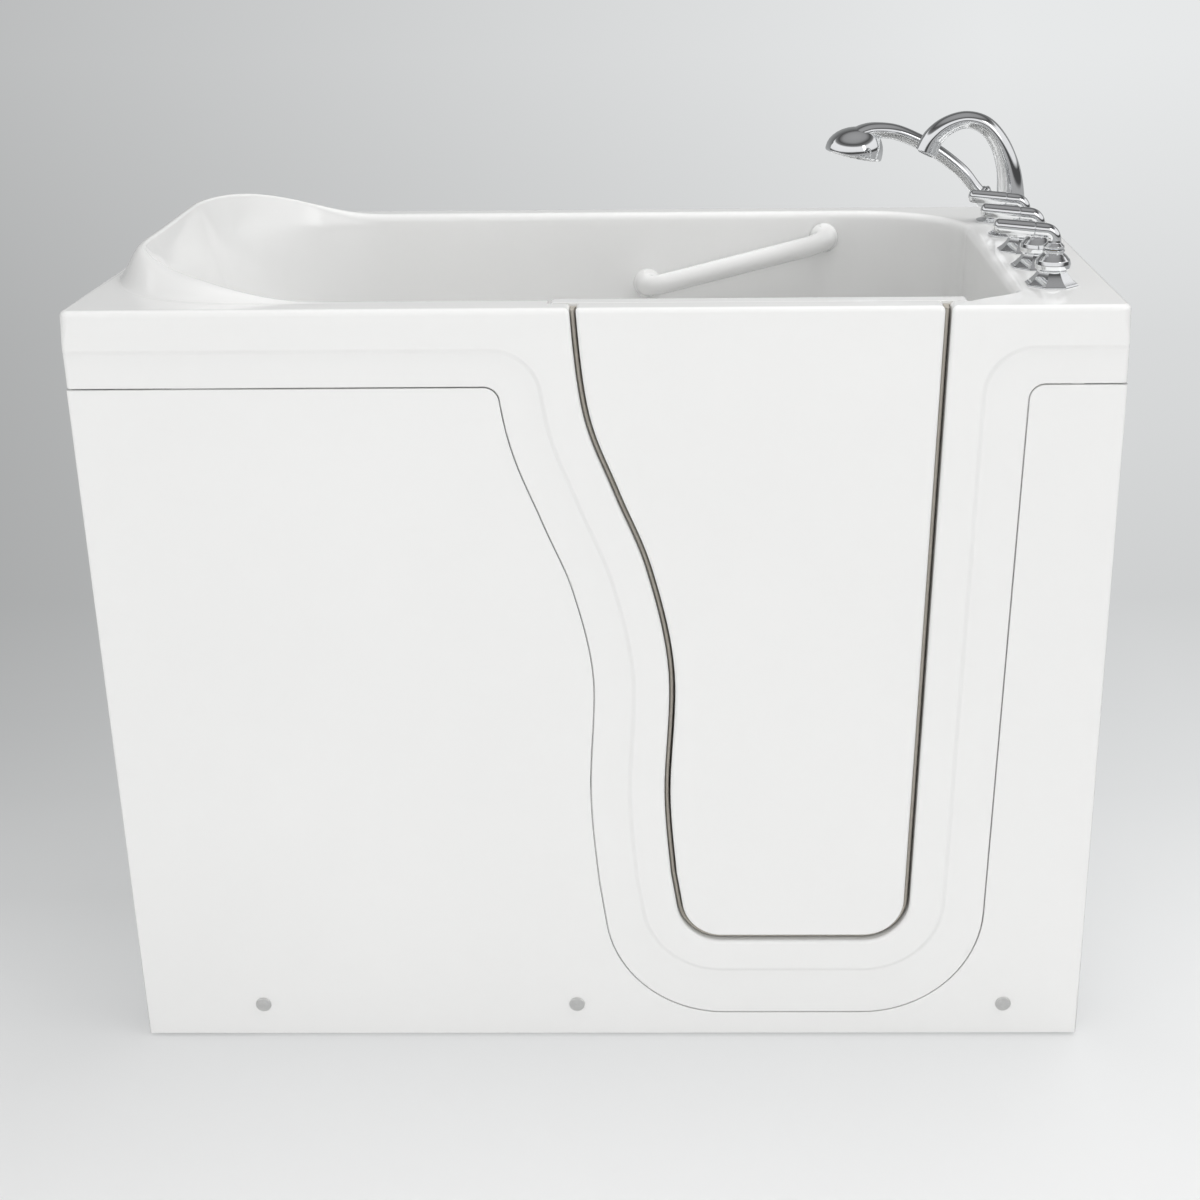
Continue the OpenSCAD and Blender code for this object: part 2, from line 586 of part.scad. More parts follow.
// ---------------------------------------------------------------- grab bar
bar_bend = 30;
bar_bolt_r = 4;
module grab_bar() color(gelcoat) {
    reach = bar_l / 2;
    side_path = [[reach, bar_off + 6, 1.5], [reach, bar_off - 8, 1.32], [reach - 2, bar_off - 20, 1.12],
        [reach - 12, 9, 1], [reach - bar_bend, 1, 1]];
    mid = [for (k = [1:5]) [reach - bar_bend - k * (bar_l - 2 * bar_bend) / 6, 0, 1]];
    path = concat(side_path, mid, [for (k = [1:5]) let (p = side_path[5 - k]) [-p[0], p[1], p[2]]]);
    difference() {
        translate([bar_x, well_y1(bar_z) - bar_off, bar_z]) rotate([0, -bar_tilt, 0]) rotate([-90, 0, 0])
            swept([for (p = curve(path, 2)) [p[0], p[1], bar_r * p[2], bar_r * p[2]]], 16);
        for (side = [-1, 1])
            on_back_wall(side) translate([-60, -60, 0]) cube([120, 120, 40]);
        for (side = [-1, 1])
            on_back_wall(side) translate([0, 0, -14]) cylinder(r = bar_bolt_r, h = 20);
    }
}
module grab_bar_bolts() color(steel) for (side = [-1, 1]) on_back_wall(side) {
    translate([0, 0, -14]) cylinder(r = bar_bolt_r, h = 14 + skin + pad_t + 12);
    translate([0, 0, skin + pad_t]) cylinder(r = 14, h = 2);
    translate([0, 0, skin + pad_t + 2]) cylinder(r = 8, h = 6, $fn = 6);
}

// ---------------------------------------------------------------- door
plug_w = -door_gap / 2;
module door_outer_shell() color(gelcoat) difference() {
    upright(-half_w, flange_y) door_shape(plug_w);
    upright(-half_w + door_skin, flange_y + 1) door_shape(plug_w - door_skin, rim_z - door_skin);
}
cavity_w = -12;                       // outline of the space that the foam core fills
latch_x = hinge_x - door_w + 32;
latch_z = rim_z - 137;
bush_r = 12;
module door_inner_shell() color(gelcoat) difference() {
    upright(flange_y, door_in_y) door_shape(lap);
    upright(flange_y - 1, door_in_y - door_skin) door_shape(cavity_w, rim_z - 12);
    bar_y(latch_x, flange_y - 1, door_in_y + 1, latch_z, bush_r);
}
module door_core() color("khaki") difference() {
    upright(-half_w + door_skin, door_in_y - door_skin) door_shape(cavity_w, rim_z - 12);
    bar_y(latch_x, flange_y - 12, door_in_y + 1, latch_z, bush_r + 2);
}
seal_w = 5;
seal_lap = 16;
module door_gasket() color("rosybrown") {
    upright(flange_y - gasket_t + 0.3, flange_y) difference() {
        door_shape(seal_lap, rim_z - 4);
        door_shape(plug_w + seal_w, rim_z);
    }
    upright(flange_y - 20, flange_y) difference() {
        door_shape(plug_w + seal_w, rim_z - 4);
        door_shape(plug_w, rim_z);
    }
}

// ---------------------------------------------------------------- hinges
knuckle_r = 6.5;
leaf_t = 3;
pin_r = 3;
hinge_y = door_in_y - knuckle_r + leaf_t;
axis_x = slant + hinge_y - knuckle_r * sqrt(2);
hinge_h = 90;
hinge_zs = [sill_z + 130, sill_z + door_rise * 0.5, rim_z - 130];
part_h = hinge_h / 3;
knuckle_gap = 0.4;
pocket_leaf = 26;                     // width of the leaf on the pocket's slanting wall
leaf_reach = axis_x - hinge_edge(0) + 6;
module knuckle(z0, z1, bore) difference() {
    bar_up(axis_x, hinge_y, z0, z1, knuckle_r);
    bar_up(axis_x, hinge_y, z0 - 1, z1 + 1, bore);
}
module hinge_frame_leaves() color(chrome) for (z = hinge_zs) {
    for (dz = [0, 2 * part_h])
        knuckle(z - hinge_h / 2 + dz, z - hinge_h / 2 + dz + part_h, pin_r);
    difference() {
        translate([axis_x, hinge_y, z - hinge_h / 2]) rotate([0, 0, 45])
            block([4, -knuckle_r, 0], [pocket_leaf, -knuckle_r + leaf_t, hinge_h]);
        bar_up(axis_x, hinge_y, z - part_h / 2 - knuckle_gap, z + part_h / 2 + knuckle_gap, knuckle_r + 1);
    }
}
module hinge_door_leaves() color(chrome) for (z = hinge_zs) {
    knuckle(z - part_h / 2 + knuckle_gap, z + part_h / 2 - knuckle_gap, pin_r + run_gap);
    difference() {
        block([axis_x - leaf_reach, door_in_y, z - hinge_h / 2],
            [axis_x - 4, door_in_y + leaf_t, z + hinge_h / 2]);
        for (dz = [-1, 1])
            bar_up(axis_x, hinge_y, z + dz * part_h - part_h / 2 - knuckle_gap - 1,
                z + dz * part_h + part_h / 2 + knuckle_gap, knuckle_r + 1);
    }
}
module hinge_pins() color(steel) for (z = hinge_zs)
    bar_up(axis_x, hinge_y, z - hinge_h / 2 - 3, z + hinge_h / 2 + 3, pin_r);
module hinge_frame_screws() color(steel) for (z = hinge_zs, dz = [-30, 0, 30])
    translate([axis_x, hinge_y, z + dz]) rotate([0, 0, 45])
        translate([pocket_leaf - 9, -knuckle_r + leaf_t, 0])
            rotate([-90, 0, 0]) cylinder(r = 4, h = 1.5);
module hinge_door_screws() color(steel) for (z = hinge_zs, dz = [-30, 0, 30], dx = [12, 26])
    bar_y(hinge_edge(0) + lap - 8 - dx, door_in_y + leaf_t, door_in_y + leaf_t + 1.5, z + dz, 4);

// ---------------------------------------------------------------- latch
latch_r = 6;
collar_t = 5;                         // the bush's collar holds the cam clear of the wall
cam_y = door_in_y + collar_t + 0.5;
cam_t = 8;
cam_l = 66;
module latch_bush() color(chrome) difference() {
    union() {
        bar_y(latch_x, door_in_y - 20, door_in_y, latch_z, bush_r);
        bar_y(latch_x, door_in_y, door_in_y + collar_t, latch_z, bush_r + 4);
    }
    bar_y(latch_x, door_in_y - 30, door_in_y + collar_t + 1, latch_z, latch_r + run_gap);
}
spindle_end = cam_y + cam_t + 16;
module latch_spindle() color(steel) bar_y(latch_x, door_in_y - 18, spindle_end - 3, latch_z, latch_r);
module latch_cam() color(chrome) difference() {
    hull() {
        bar_y(latch_x, cam_y, cam_y + cam_t, latch_z, 13);
        bar_y(latch_x, cam_y, cam_y + cam_t, latch_z + cam_l, 8);
    }
    bar_y(latch_x, cam_y - 1, cam_y + cam_t + 1, latch_z, latch_r);
}
grip_l = 110;
module latch_handle() color(chrome) difference() {
    union() {
        bar_y(latch_x, spindle_end - 14, spindle_end, latch_z, 14);
        hull() {
            bar_y(latch_x, spindle_end - 12, spindle_end - 2, latch_z, 10);
            bar_y(latch_x, spindle_end - 10, spindle_end, latch_z - grip_l, 8);
        }
    }
    bar_y(latch_x, spindle_end - 17, spindle_end - 3, latch_z, latch_r);
}
keeper_x = latch_x - cam_l;
keeper_x0 = keeper_x - 26;
keeper_x1 = hinge_x - door_w - lap - 8;
keeper_h = 36;
lip_y = cam_y + cam_t + 1;
module latch_keeper() color(chrome) {
    block([keeper_x0, inner_y, latch_z - keeper_h], [keeper_x1, inner_y + 2, latch_z + keeper_h]);
    block([keeper_x0, inner_y + 2, latch_z - 22], [keeper_x0 + 6, lip_y + 4, latch_z + 22]);
    block([keeper_x0 + 6, lip_y, latch_z - 22], [keeper_x + 11, lip_y + 4, latch_z + 22]);
}
module latch_keeper_screws() color(steel) for (dz = [-1, 1])
    bar_y((keeper_x0 + keeper_x1) / 2, inner_y + 2, inner_y + 3.5, latch_z + dz * 29, 4);

// ---------------------------------------------------------------- taps
bell_h = 46;
shank_r = 12;
module tap_bells() color(chrome) for (i = [0:2])
    translate([tap_x, tap_y(i), rim_z]) difference() {
        union() {
            cylinder(r = bell_r, h = 2, $fn = 8);
            translate([0, 0, 2]) cylinder(r1 = bell_r, r2 = bell_r * 0.55, h = 12, $fn = 8);
            cylinder(r = bell_r * 0.5, h = 20);
            translate([0, 0, 18]) cylinder(r1 = bell_r * 0.5, r2 = bell_r * 0.63, h = 4);
            translate([0, 0, 22]) cylinder(r = bell_r * 0.63, h = 10);
            translate([0, 0, 32]) cylinder(r1 = bell_r * 0.63, r2 = bell_r * 0.36, h = 10);
            translate([0, 0, 42]) cylinder(r = bell_r * 0.38, h = bell_h - 42);
        }
        translate([0, 0, -1]) cylinder(r = shank_r, h = 17);
        cylinder(r = spindle_r + run_gap, h = bell_h + 1);
    }
valve_drop = 92;
valve_body_r = 17;
outlet_z = rim_z - 66;
module valve_bodies() color("goldenrod") for (i = [0:2])
    translate([tap_x, tap_y(i), rim_z]) difference() {
        union() {
            translate([0, 0, -30]) cylinder(r = shank_r, h = 45);
            translate([0, 0, -82]) cylinder(r = valve_body_r, h = 58);
            if (i < 2)
                translate([0, 0, -valve_drop - 14]) cylinder(r = 10.5, h = 30);
        }
        translate([0, 0, -60]) cylinder(r = spindle_r + run_gap, h = 80);
        for (s = [-1, 1])
            if (i > 0 || s > 0)
                port(s, valve_body_r);
    }
tube_r = 8;
tube_in = 6;
function body_r(i) = i < 3 ? valve_body_r : spout_shank_r;
// Bore that takes the end of a supply tube on one side of a body
module port(side, r) mirror([0, side < 0 ? 1 : 0, 0])
    bar_y(0, r - tube_in, r + tube_in, outlet_z - rim_z, tube_r);
module supply_tubes() color("peru") for (i = [0:3])
    bar_y(tap_x, tap_y(i) + body_r(i) - tube_in, tap_y(i + 1) - body_r(i + 1) + tube_in, outlet_z, tube_r);
module deck_nuts() color("goldenrod") for (i = [0:4])
    translate([tap_x, tap_y(i), rim_z - skin - pad_t - 9]) difference() {
        cylinder(r = 21, h = 9, $fn = 6);
        translate([0, 0, -1]) cylinder(r = i < 3 ? shank_r : spout_shank_r, h = 11);
    }
module spindle(i) color(steel) bar_up(tap_x, tap_y(i), rim_z - 50, rim_z + lever_h - 14, spindle_r);
module lever(i) color(chrome) translate([tap_x, tap_y(i), rim_z]) {
    bend = 14;
    difference() {
        translate([0, 0, bell_h + 0.4]) cylinder(r = spindle_r + 3, h = lever_h - bend - bell_h - 0.4);
        cylinder(r = spindle_r, h = lever_h - 14);
    }
    translate([-bend, 0, lever_h - bend]) rotate([90, 0, 0]) rotate_extrude(angle = 90)
        translate([bend, 0]) circle(r = spindle_r + 3);
    translate([-bend - 4, 0, lever_h]) rotate([0, 90, 0]) cylinder(r = spindle_r + 4, h = 4);
    translate([-lever_l + 8, 0, lever_h]) rotate([0, 90, 0])
        cylinder(r1 = 10, r2 = 8, h = lever_l - 8 - bend - 4);
    translate([-lever_l, 0, lever_h]) rotate([0, 90, 0]) cylinder(r1 = 6, r2 = 10, h = 8);
}

// ---------------------------------------------------------------- spout and hand shower
spout_shank_r = 13;
spout_y = tap_y(3);
// Middle line from the deck over the top to the outlet: x from the tap row, height, half sizes
spout_line = [[0, 6.3, 23, 21], [0, 40, 21.5, 20], [-2, 74, 19, 18.5], [-8, 104, 16.5, 17],
    [-22, 136, 14, 16], [-43, spout_h - 21, 13, 15.5], [-70, spout_h - 13, 12.5, 15.5],
    [-97, spout_h - 21, 13.5, 15.5], [-117, spout_h - 38, 15, 16], [-127, spout_h - 59, 16.5, 16.5]];
mouth = spout_line[len(spout_line) - 1];
mouth_turn = 24;
module at_mouth() translate([tap_x + mouth[0], spout_y, rim_z + mouth[1]])
    rotate([0, mouth_turn, 0]) children();
module spout() color(chrome) difference() {
    translate([tap_x, spout_y, rim_z]) swept(curve(spout_line, 3), 24);
    at_mouth() translate([0, 0, -6]) cylinder(r = 11.5, h = 20);
    bar_up(tap_x, spout_y, rim_z, rim_z + 24, spout_shank_r);
}
module spout_flange() color(chrome) translate([tap_x, spout_y, rim_z]) difference() {
    union() {
        cylinder(r = 30, h = 3);
        translate([0, 0, 3]) cylinder(r1 = 30, r2 = 25, h = 3);
    }
    translate([0, 0, -1]) cylinder(r = spout_shank_r, h = 8);
}
module spout_shank() color("goldenrod") for (i = [3, 4])
    translate([tap_x, tap_y(i), rim_z]) difference() {
        translate([0, 0, -82]) cylinder(r = spout_shank_r, h = i == 3 ? 106 : 82);
        for (side = [-1, 1])
            if (i == 3 || side < 0)
                port(side, spout_shank_r);
    }
module aerator() color("gray") at_mouth() difference() {
    translate([0, 0, -3]) cylinder(r = 11.5, h = 10);
    translate([0, 0, -5]) cylinder(r = 9, h = 7);
}

shower_x = tap_x - 17;
shower_y = tap_y(4);
socket_lean = 42;
socket_z = 31;
module shower_holder() color(chrome) difference() {
    union() {
        translate([tap_x, shower_y, rim_z]) {
            cylinder(r = 32, h = 3);
            translate([0, 0, 3]) cylinder(r1 = 32, r2 = 16, h = 6);
            translate([0, 0, 9]) cylinder(r = 12, h = 6);
            translate([-4, 0, 20]) sphere(r = 14);
        }
        at_socket() translate([0, 0, -14]) cylinder(r1 = 13, r2 = 17, h = 30);
    }
    at_socket() translate([0, 0, -9]) cylinder(r1 = 9.8, r2 = 13.3, h = 26);
}
module at_socket() translate([shower_x, shower_y, rim_z + socket_z]) rotate([0, -socket_lean, 0]) children();
// Handle line from the socket up to the head: x and height from the socket, half sizes
shower_line = [[0, 0, 9.4, 9.4], [-22, 24, 10, 10], [-40, 45, 10.3, 10.3], [-75, 72, 10.6, 10.6],
    [-107, 90, 11, 11.5], [-142, 104, 11.5, 13], [-172, 107.5, 11.5, 15]];
head_at = [-207, 71];
head_turn = 12;
head_r = 43;
module at_head() translate([shower_x + head_at[0], shower_y, rim_z + socket_z + head_at[1]])
    rotate([0, head_turn, 0]) children();
module hand_shower() color(chrome) {
    difference() {
        union() {
            translate([shower_x, shower_y, rim_z + socket_z]) swept(curve(shower_line, 3), 24);
            at_head() hull() {
                cylinder(r = head_r, h = 8);
                translate([14, 0, 26]) cylinder(r1 = 26, r2 = 10, h = 16);
            }
        }
        at_head() translate([0, 0, -1]) cylinder(r = head_r - 4, h = 4);
    }
    at_socket() translate([0, 0, -7]) cylinder(r1 = 9.6, r2 = 12.6, h = 22);
}
module spray_plate() color("gainsboro") at_head() difference() {
    cylinder(r = head_r - 4, h = 3);
    for (a = [0:30:330]) rotate([0, 0, a]) translate([24, 0, -1]) cylinder(r = 2, h = 2);
}

// ---------------------------------------------------------------- waste and overflow
drain_tube_r = 24;
stem_r = 3;
shoe_top = well_z - skin - 4;
pipe_z = 42;
module drain_flange() color(chrome) translate([drain_x, drain_y, 0]) {
    difference() {
        union() {
            bar_up(0, 0, well_z, well_z + 2, drain_r);
            translate([0, 0, well_z + 2]) cylinder(r1 = drain_r, r2 = drain_r - 3, h = 1);
            bar_up(0, 0, well_z - 32, well_z, drain_tube_r);
        }
        bar_up(0, 0, well_z - 40, well_z + 5, drain_tube_r - 4);
    }
    difference() {
        union() {
            bar_up(0, 0, well_z - 24, well_z - 14, 7);
            for (a = [0, 60, 120])
                translate([0, 0, well_z - 19]) rotate([0, 0, a])
                    cube([2 * drain_tube_r - 6, 4, 6], center = true);
        }
        bar_up(0, 0, well_z - 30, well_z - 10, stem_r + run_gap);
    }
}
module drain_gasket() color("dimgray") translate([drain_x, drain_y, 0])
    tube_up(0, 0, shoe_top, well_z - skin, 36, 36 - drain_hole_r);
module drain_body() color("dimgray") translate([drain_x, drain_y, 0]) difference() {
    union() {
        bar_up(0, 0, pipe_z - pipe_r - 5, shoe_top, drain_tube_r + 5);
        bar_up(0, 0, shoe_top - 5, shoe_top, 36);
    }
    bar_up(0, 0, pipe_z - pipe_r, shoe_top + 1, drain_tube_r);
    bar_x(0, drain_tube_r + 10, 0, pipe_z, pipe_r + 1);
}
module drain_stopper() color(chrome) {
    bar_up(drain_x, drain_y, well_z + 3.3, well_z + 6.5, drain_r - 9);
    bar_up(drain_x, drain_y, well_z - 30, well_z + 3.3, stem_r);
}
tee_x = tap_x;
pipe_out = pipe_r + 1;
module drain_pipe() color("white") difference() {
    bar_x(drain_x + drain_tube_r, tee_x - pipe_out, drain_y, pipe_z, pipe_out);
    bar_x(drain_x, tee_x, drain_y, pipe_z, pipe_r - 2);
}
tee_top = pipe_z + 42;
module drain_tee() color("white") difference() {
    union() {
        bar_up(tee_x, drain_y, 20, tee_top, pipe_r + 5);
        bar_x(tee_x - pipe_r - 16, tee_x, drain_y, pipe_z, pipe_r + 5);
    }
    bar_up(tee_x, drain_y, 10, tee_top + 5, pipe_out);
    bar_x(tee_x - pipe_r - 20, tee_x, drain_y, pipe_z, pipe_out);
}
tail_r = 19;
module drain_tailpiece() color("white") difference() {
    union() {
        bar_up(tee_x, drain_y, 3, 20, tail_r);
        bar_up(tee_x, drain_y, 20, 28, pipe_out);
    }
    bar_up(tee_x, drain_y, 2, 29, tail_r - 3);
}
elbow_z = overflow_z - 32;
module overflow_pipe() color("white")
    tube_up(tee_x, drain_y, pipe_z + pipe_out + 2, elbow_z + 8, pipe_out, 3);
nut_h = 14;
module slip_nuts() color("gainsboro") {
    for (z = [tee_top, elbow_z - nut_h])
        tube_up(tee_x, drain_y, z, z + nut_h, pipe_r + 8, 7);
    difference() {
        bar_x(tee_x - pipe_r - 16 - nut_h, tee_x - pipe_r - 16, drain_y, pipe_z, pipe_r + 8);
        bar_x(tee_x - 80, tee_x, drain_y, pipe_z, pipe_out);
    }
    difference() {
        bar_x(drain_x + drain_tube_r + 5, drain_x + drain_tube_r + 5 + nut_h, drain_y, pipe_z, pipe_r + 8);
        bar_x(drain_x, drain_x + 80, drain_y, pipe_z, pipe_out);
    }
}
dial_r = 36;
dial_shaft_r = 6;
wall_back = skin + pad_t;
module overflow_body() color("dimgray") {
    difference() {
        union() {
            on_side_wall() translate([0, 0, wall_back]) cylinder(r = 34, h = 4);
            on_side_wall() translate([0, 0, wall_back])
                cylinder(r = pipe_r + 5, h = tee_x - wall_x - wall_back);
            bar_up(tee_x, drain_y, elbow_z, overflow_z + pipe_r + 5, pipe_r + 5);
        }
        bar_up(tee_x, drain_y, elbow_z - 1, overflow_z, pipe_out);
        on_side_wall() translate([0, 0, wall_back - 1]) cylinder(r = pipe_r, h = tee_x - wall_x - wall_back);
    }
    on_side_wall() difference() {
        union() {
            translate([0, 0, wall_back + 6]) cylinder(r = dial_shaft_r + 4, h = 8);
            for (a = [0, 60, 120])
                translate([0, 0, wall_back + 10]) rotate([0, 0, a])
                    cube([2 * pipe_r + 4, 4, 6], center = true);
        }
        translate([0, 0, wall_back]) cylinder(r = dial_shaft_r + run_gap, h = 20);
    }
}
module overflow_dial() color(chrome) on_side_wall() {
    translate([0, 0, -8]) cylinder(r = dial_r, h = 2);
    translate([0, 0, -15]) cylinder(r1 = dial_r - 5, r2 = dial_r, h = 7);
    translate([0, 0, -6]) cylinder(r = dial_shaft_r, h = wall_back + 22);
    for (a = [0:120:240]) rotate([0, 0, a]) translate([dial_r - 4, 0, -12]) cylinder(r = 7, h = 6);
}

// ---------------------------------------------------------------- every node
tub_shell();
front_panel();
panel_clips();
panel_screws();
screw_caps();
base_rails();
end_rails();
cross_rails();
frame_posts();
seat_beams();
frame_bolts();
foot_pads();
foot_studs();
foot_nuts();
grab_bar();
grab_bar_bolts();
door_outer_shell();
door_inner_shell();
door_core();
door_gasket();
hinge_frame_leaves();
hinge_door_leaves();
hinge_pins();
hinge_frame_screws();
hinge_door_screws();
latch_bush();
latch_spindle();
latch_handle();
latch_cam();
latch_keeper();
latch_keeper_screws();
tap_bells();
valve_bodies();
deck_nuts();
supply_tubes();
lever(0);  // hot_lever
spindle(0);  // hot_spindle
lever(1);  // cold_lever
spindle(1);  // cold_spindle
lever(2);  // diverter_lever
spindle(2);  // diverter_spindle
spout();
spout_flange();
spout_shank();
aerator();
shower_holder();
hand_shower();
spray_plate();
drain_flange();
drain_gasket();
drain_body();
drain_stopper();
drain_pipe();
drain_tee();
drain_tailpiece();
slip_nuts();
overflow_pipe();
overflow_body();
overflow_dial();
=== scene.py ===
import json
import math
import bmesh
import bpy
import numpy as np
from mathutils import Matrix, Vector
from mathutils.bvhtree import BVHTree

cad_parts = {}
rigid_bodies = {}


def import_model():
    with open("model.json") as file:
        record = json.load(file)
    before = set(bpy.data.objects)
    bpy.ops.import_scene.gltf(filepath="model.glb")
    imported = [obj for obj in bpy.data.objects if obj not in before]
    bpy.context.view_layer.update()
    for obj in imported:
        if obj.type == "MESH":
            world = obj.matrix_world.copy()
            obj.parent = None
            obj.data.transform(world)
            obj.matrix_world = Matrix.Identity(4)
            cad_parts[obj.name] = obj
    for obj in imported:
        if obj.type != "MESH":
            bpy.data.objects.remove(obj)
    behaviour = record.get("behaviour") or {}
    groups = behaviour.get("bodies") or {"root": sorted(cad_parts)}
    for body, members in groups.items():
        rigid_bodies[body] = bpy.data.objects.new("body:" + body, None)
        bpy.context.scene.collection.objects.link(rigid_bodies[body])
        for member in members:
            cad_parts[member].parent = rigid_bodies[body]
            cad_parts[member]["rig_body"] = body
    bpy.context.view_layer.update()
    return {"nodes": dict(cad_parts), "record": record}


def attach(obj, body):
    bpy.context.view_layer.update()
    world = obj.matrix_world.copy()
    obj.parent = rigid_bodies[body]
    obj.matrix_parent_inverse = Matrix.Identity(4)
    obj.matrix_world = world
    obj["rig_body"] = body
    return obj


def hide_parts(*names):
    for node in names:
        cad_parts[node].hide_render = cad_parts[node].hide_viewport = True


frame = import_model()
mm = 0.001  # the pieces are worked out in millimetres, and the scene is in metres


# small sums that every piece uses
def soft(t):
    # from 0 to 1 with a gentle start and end
    t = min(1, max(0, t))
    return t * t * (3 - 2 * t)


def mix(a, b, t):
    return a + (b - a) * t


def turned(vector):
    return np.array([vector[1], -vector[0]])


def unit(vector):
    return np.array(vector) / max(1e-9, np.linalg.norm(vector))


def spline(points, steps):
    # a smooth curve through points of any size, with so many steps between two of them
    pts = [np.array(p, float) for p in points]
    out = []
    for i in range(len(pts) - 1):
        a, b = pts[max(i - 1, 0)], pts[i]
        c, d = pts[i + 1], pts[min(i + 2, len(pts) - 1)]
        for k in range(steps):
            t = k / steps
            out.append(0.5 * (2 * b + (c - a) * t + (2 * a - 5 * b + 4 * c - d) * t * t
                              + (3 * b - a - 3 * c + d) * t ** 3))
    return out + [pts[-1]]


def arcPoints(centre, radius, start, stop, steps):
    angles = [math.radians(mix(start, stop, k / steps)) for k in range(steps + 1)]
    return [np.array(centre) + radius * np.array([math.cos(a), math.sin(a)]) for a in angles]


# smooth sheets in millimetres, each corner with its own true normal
def newSheet():
    return {"points": [], "normals": [], "faces": [], "seen": {}}


def addCorner(sheet, point, normal, group):
    # corners of one group that lie closer than a fortieth of a millimetre are one
    key = (round(point[0] * 40), round(point[1] * 40), round(point[2] * 40), group)
    if key not in sheet["seen"]:
        sheet["seen"][key] = len(sheet["points"])
        sheet["points"].append(np.array(point, float))
        sheet["normals"].append(np.zeros(3))
    index = sheet["seen"][key]
    sheet["normals"][index] = sheet["normals"][index] + normal
    return index


def addFace(sheet, corners):
    loop = [c for i, c in enumerate(corners) if c != corners[i - 1]]
    if len(set(loop)) < 3 or len(set(loop)) < len(loop):
        return
    pts = [sheet["points"][c] for c in loop]
    area = sum(np.cross(pts[i] - pts[0], pts[i + 1] - pts[0]) for i in range(1, len(pts) - 1))
    facing = sum(sheet["normals"][c] for c in loop)
    if np.dot(area, facing) < 0:
        loop.reverse()
    sheet["faces"].append(loop)


def addGrid(sheet, rows, side, closed=False, group=0):
    # rows of equally many points; side is a direction that tells which way the first normal points
    pts = np.array(rows, float)
    if closed:
        across = np.roll(pts, -1, 1) - np.roll(pts, 1, 1)
    else:
        across = np.gradient(pts, axis=1)
    along = np.gradient(pts, axis=0)
    normals = np.cross(across, along)
    sizes = np.linalg.norm(normals, axis=2, keepdims=True)
    total = normals.sum(axis=(0, 1))
    normals = normals / np.maximum(sizes, 1e-9)
    middle = normals[len(rows) // 2, len(rows[0]) // 2]
    probe = middle if np.linalg.norm(middle) > 0.5 else unit(total)
    if np.dot(probe, np.array(side, float)) < 0:
        normals = -normals
    count = len(rows[0])
    table = [[addCorner(sheet, p, n, group) for p, n in zip(row, line)] for row, line in zip(pts, normals)]
    for a, b in zip(table, table[1:]):
        for k in range(count if closed else count - 1):
            n = (k + 1) % count
            addFace(sheet, [a[k], a[n], b[n], b[k]])


def addFlat(sheet, outline, normal, group=0):
    # a flat face rules the normals of the corners that it shares with a rounded edge
    facing = 50 * unit(normal)
    addFace(sheet, [addCorner(sheet, p, facing, group) for p in outline])


def finishSheet(sheet, name, material, extra=None):
    # extra is a plain mesh whose faces join the sheet, with the normals it has
    points = [tuple(p * mm) for p in sheet["points"]]
    faces = [list(f) for f in sheet["faces"]]
    lengths = [np.linalg.norm(n) for n in sheet["normals"]]
    pointNormals = [tuple(n / s) if s > 1e-6 else (0, 0, 1) for n, s in zip(sheet["normals"], lengths)]
    cornerNormals = [pointNormals[c] for f in faces for c in f]
    if extra is not None:
        start = len(points)
        points += [tuple(v.co) for v in extra.vertices]
        faces += [[start + v for v in p.vertices] for p in extra.polygons]
        cornerNormals += [tuple(n.vector) for n in extra.corner_normals]
    mesh = bpy.data.meshes.new(name)
    mesh.from_pydata(points, [], faces)
    mesh.shade_smooth()
    mesh.normals_split_custom_set(cornerNormals)
    mesh.materials.append(material)
    return addToScene(name, mesh)


def addToScene(name, data):
    made = bpy.data.objects.new(name, data)
    bpy.context.scene.collection.objects.link(made)
    return made


def plainMesh(holder):
    # what an object's modifiers make of it, as a mesh of its own
    bpy.context.view_layer.update()
    return bpy.data.meshes.new_from_object(holder.evaluated_get(bpy.context.evaluated_depsgraph_get()))


def mergedCad(node):
    # a CAD node's loose triangles, joined at their corners
    bm = bmesh.new()
    bm.from_mesh(frame["nodes"][node].data)
    bmesh.ops.remove_doubles(bm, verts=bm.verts, dist=1e-5)
    return bm


def meshFrom(bm, name):
    mesh = bpy.data.meshes.new(name)
    bm.to_mesh(mesh)
    bm.free()
    return mesh


def shadeBySharpness(mesh, degrees):
    mesh.shade_smooth()
    mesh.set_sharp_from_angle(angle=math.radians(degrees))
    return mesh


dressed = set()  # the CAD nodes that have their piece


def placePiece(piece, body, slotName, *replaced):
    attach(piece, body)
    if replaced:
        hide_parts(*replaced)
        dressed.update(replaced)


# the line of the door gap on the front, in the XZ plane
doorway = {
    "hinge": 443.5, "lean": 24,  # x of the hinge edge at the rim, and how far it leans in at the sill
    "width": 469.5, "widthLow": 350, "footIn": 16, "sill": 163.5, "rim": 1067, "cornerRadius": 60,
    "jamb": 4, "edgeRound": 5,  # half the gap, and the rounding of the shell's edge beside it
    "jambBack": -365, "jambRound": (1.5, 0.44),
    "pocket": 34, "pocketRight": 475, "pocketTop": 1050,  # the rebate round the door's flange
    "levelFrom": 250,  # x from which the pocket's floor runs level
    "flare": (400, 75, 30),  # where the pocket's right wall starts to open, over what run and how far
    "upright": (1000, 40),  # height and run over which the gap turns upright under the rim
    "steps": [(1.1, 1), (1, 1), (0.848, 0.883), (0.733, 0.576), (0.613, 0.23),
              (0.452, 0), (0.254, 0.063), (0.115, 0)],  # the free edge: (share of height, share of widening)
}


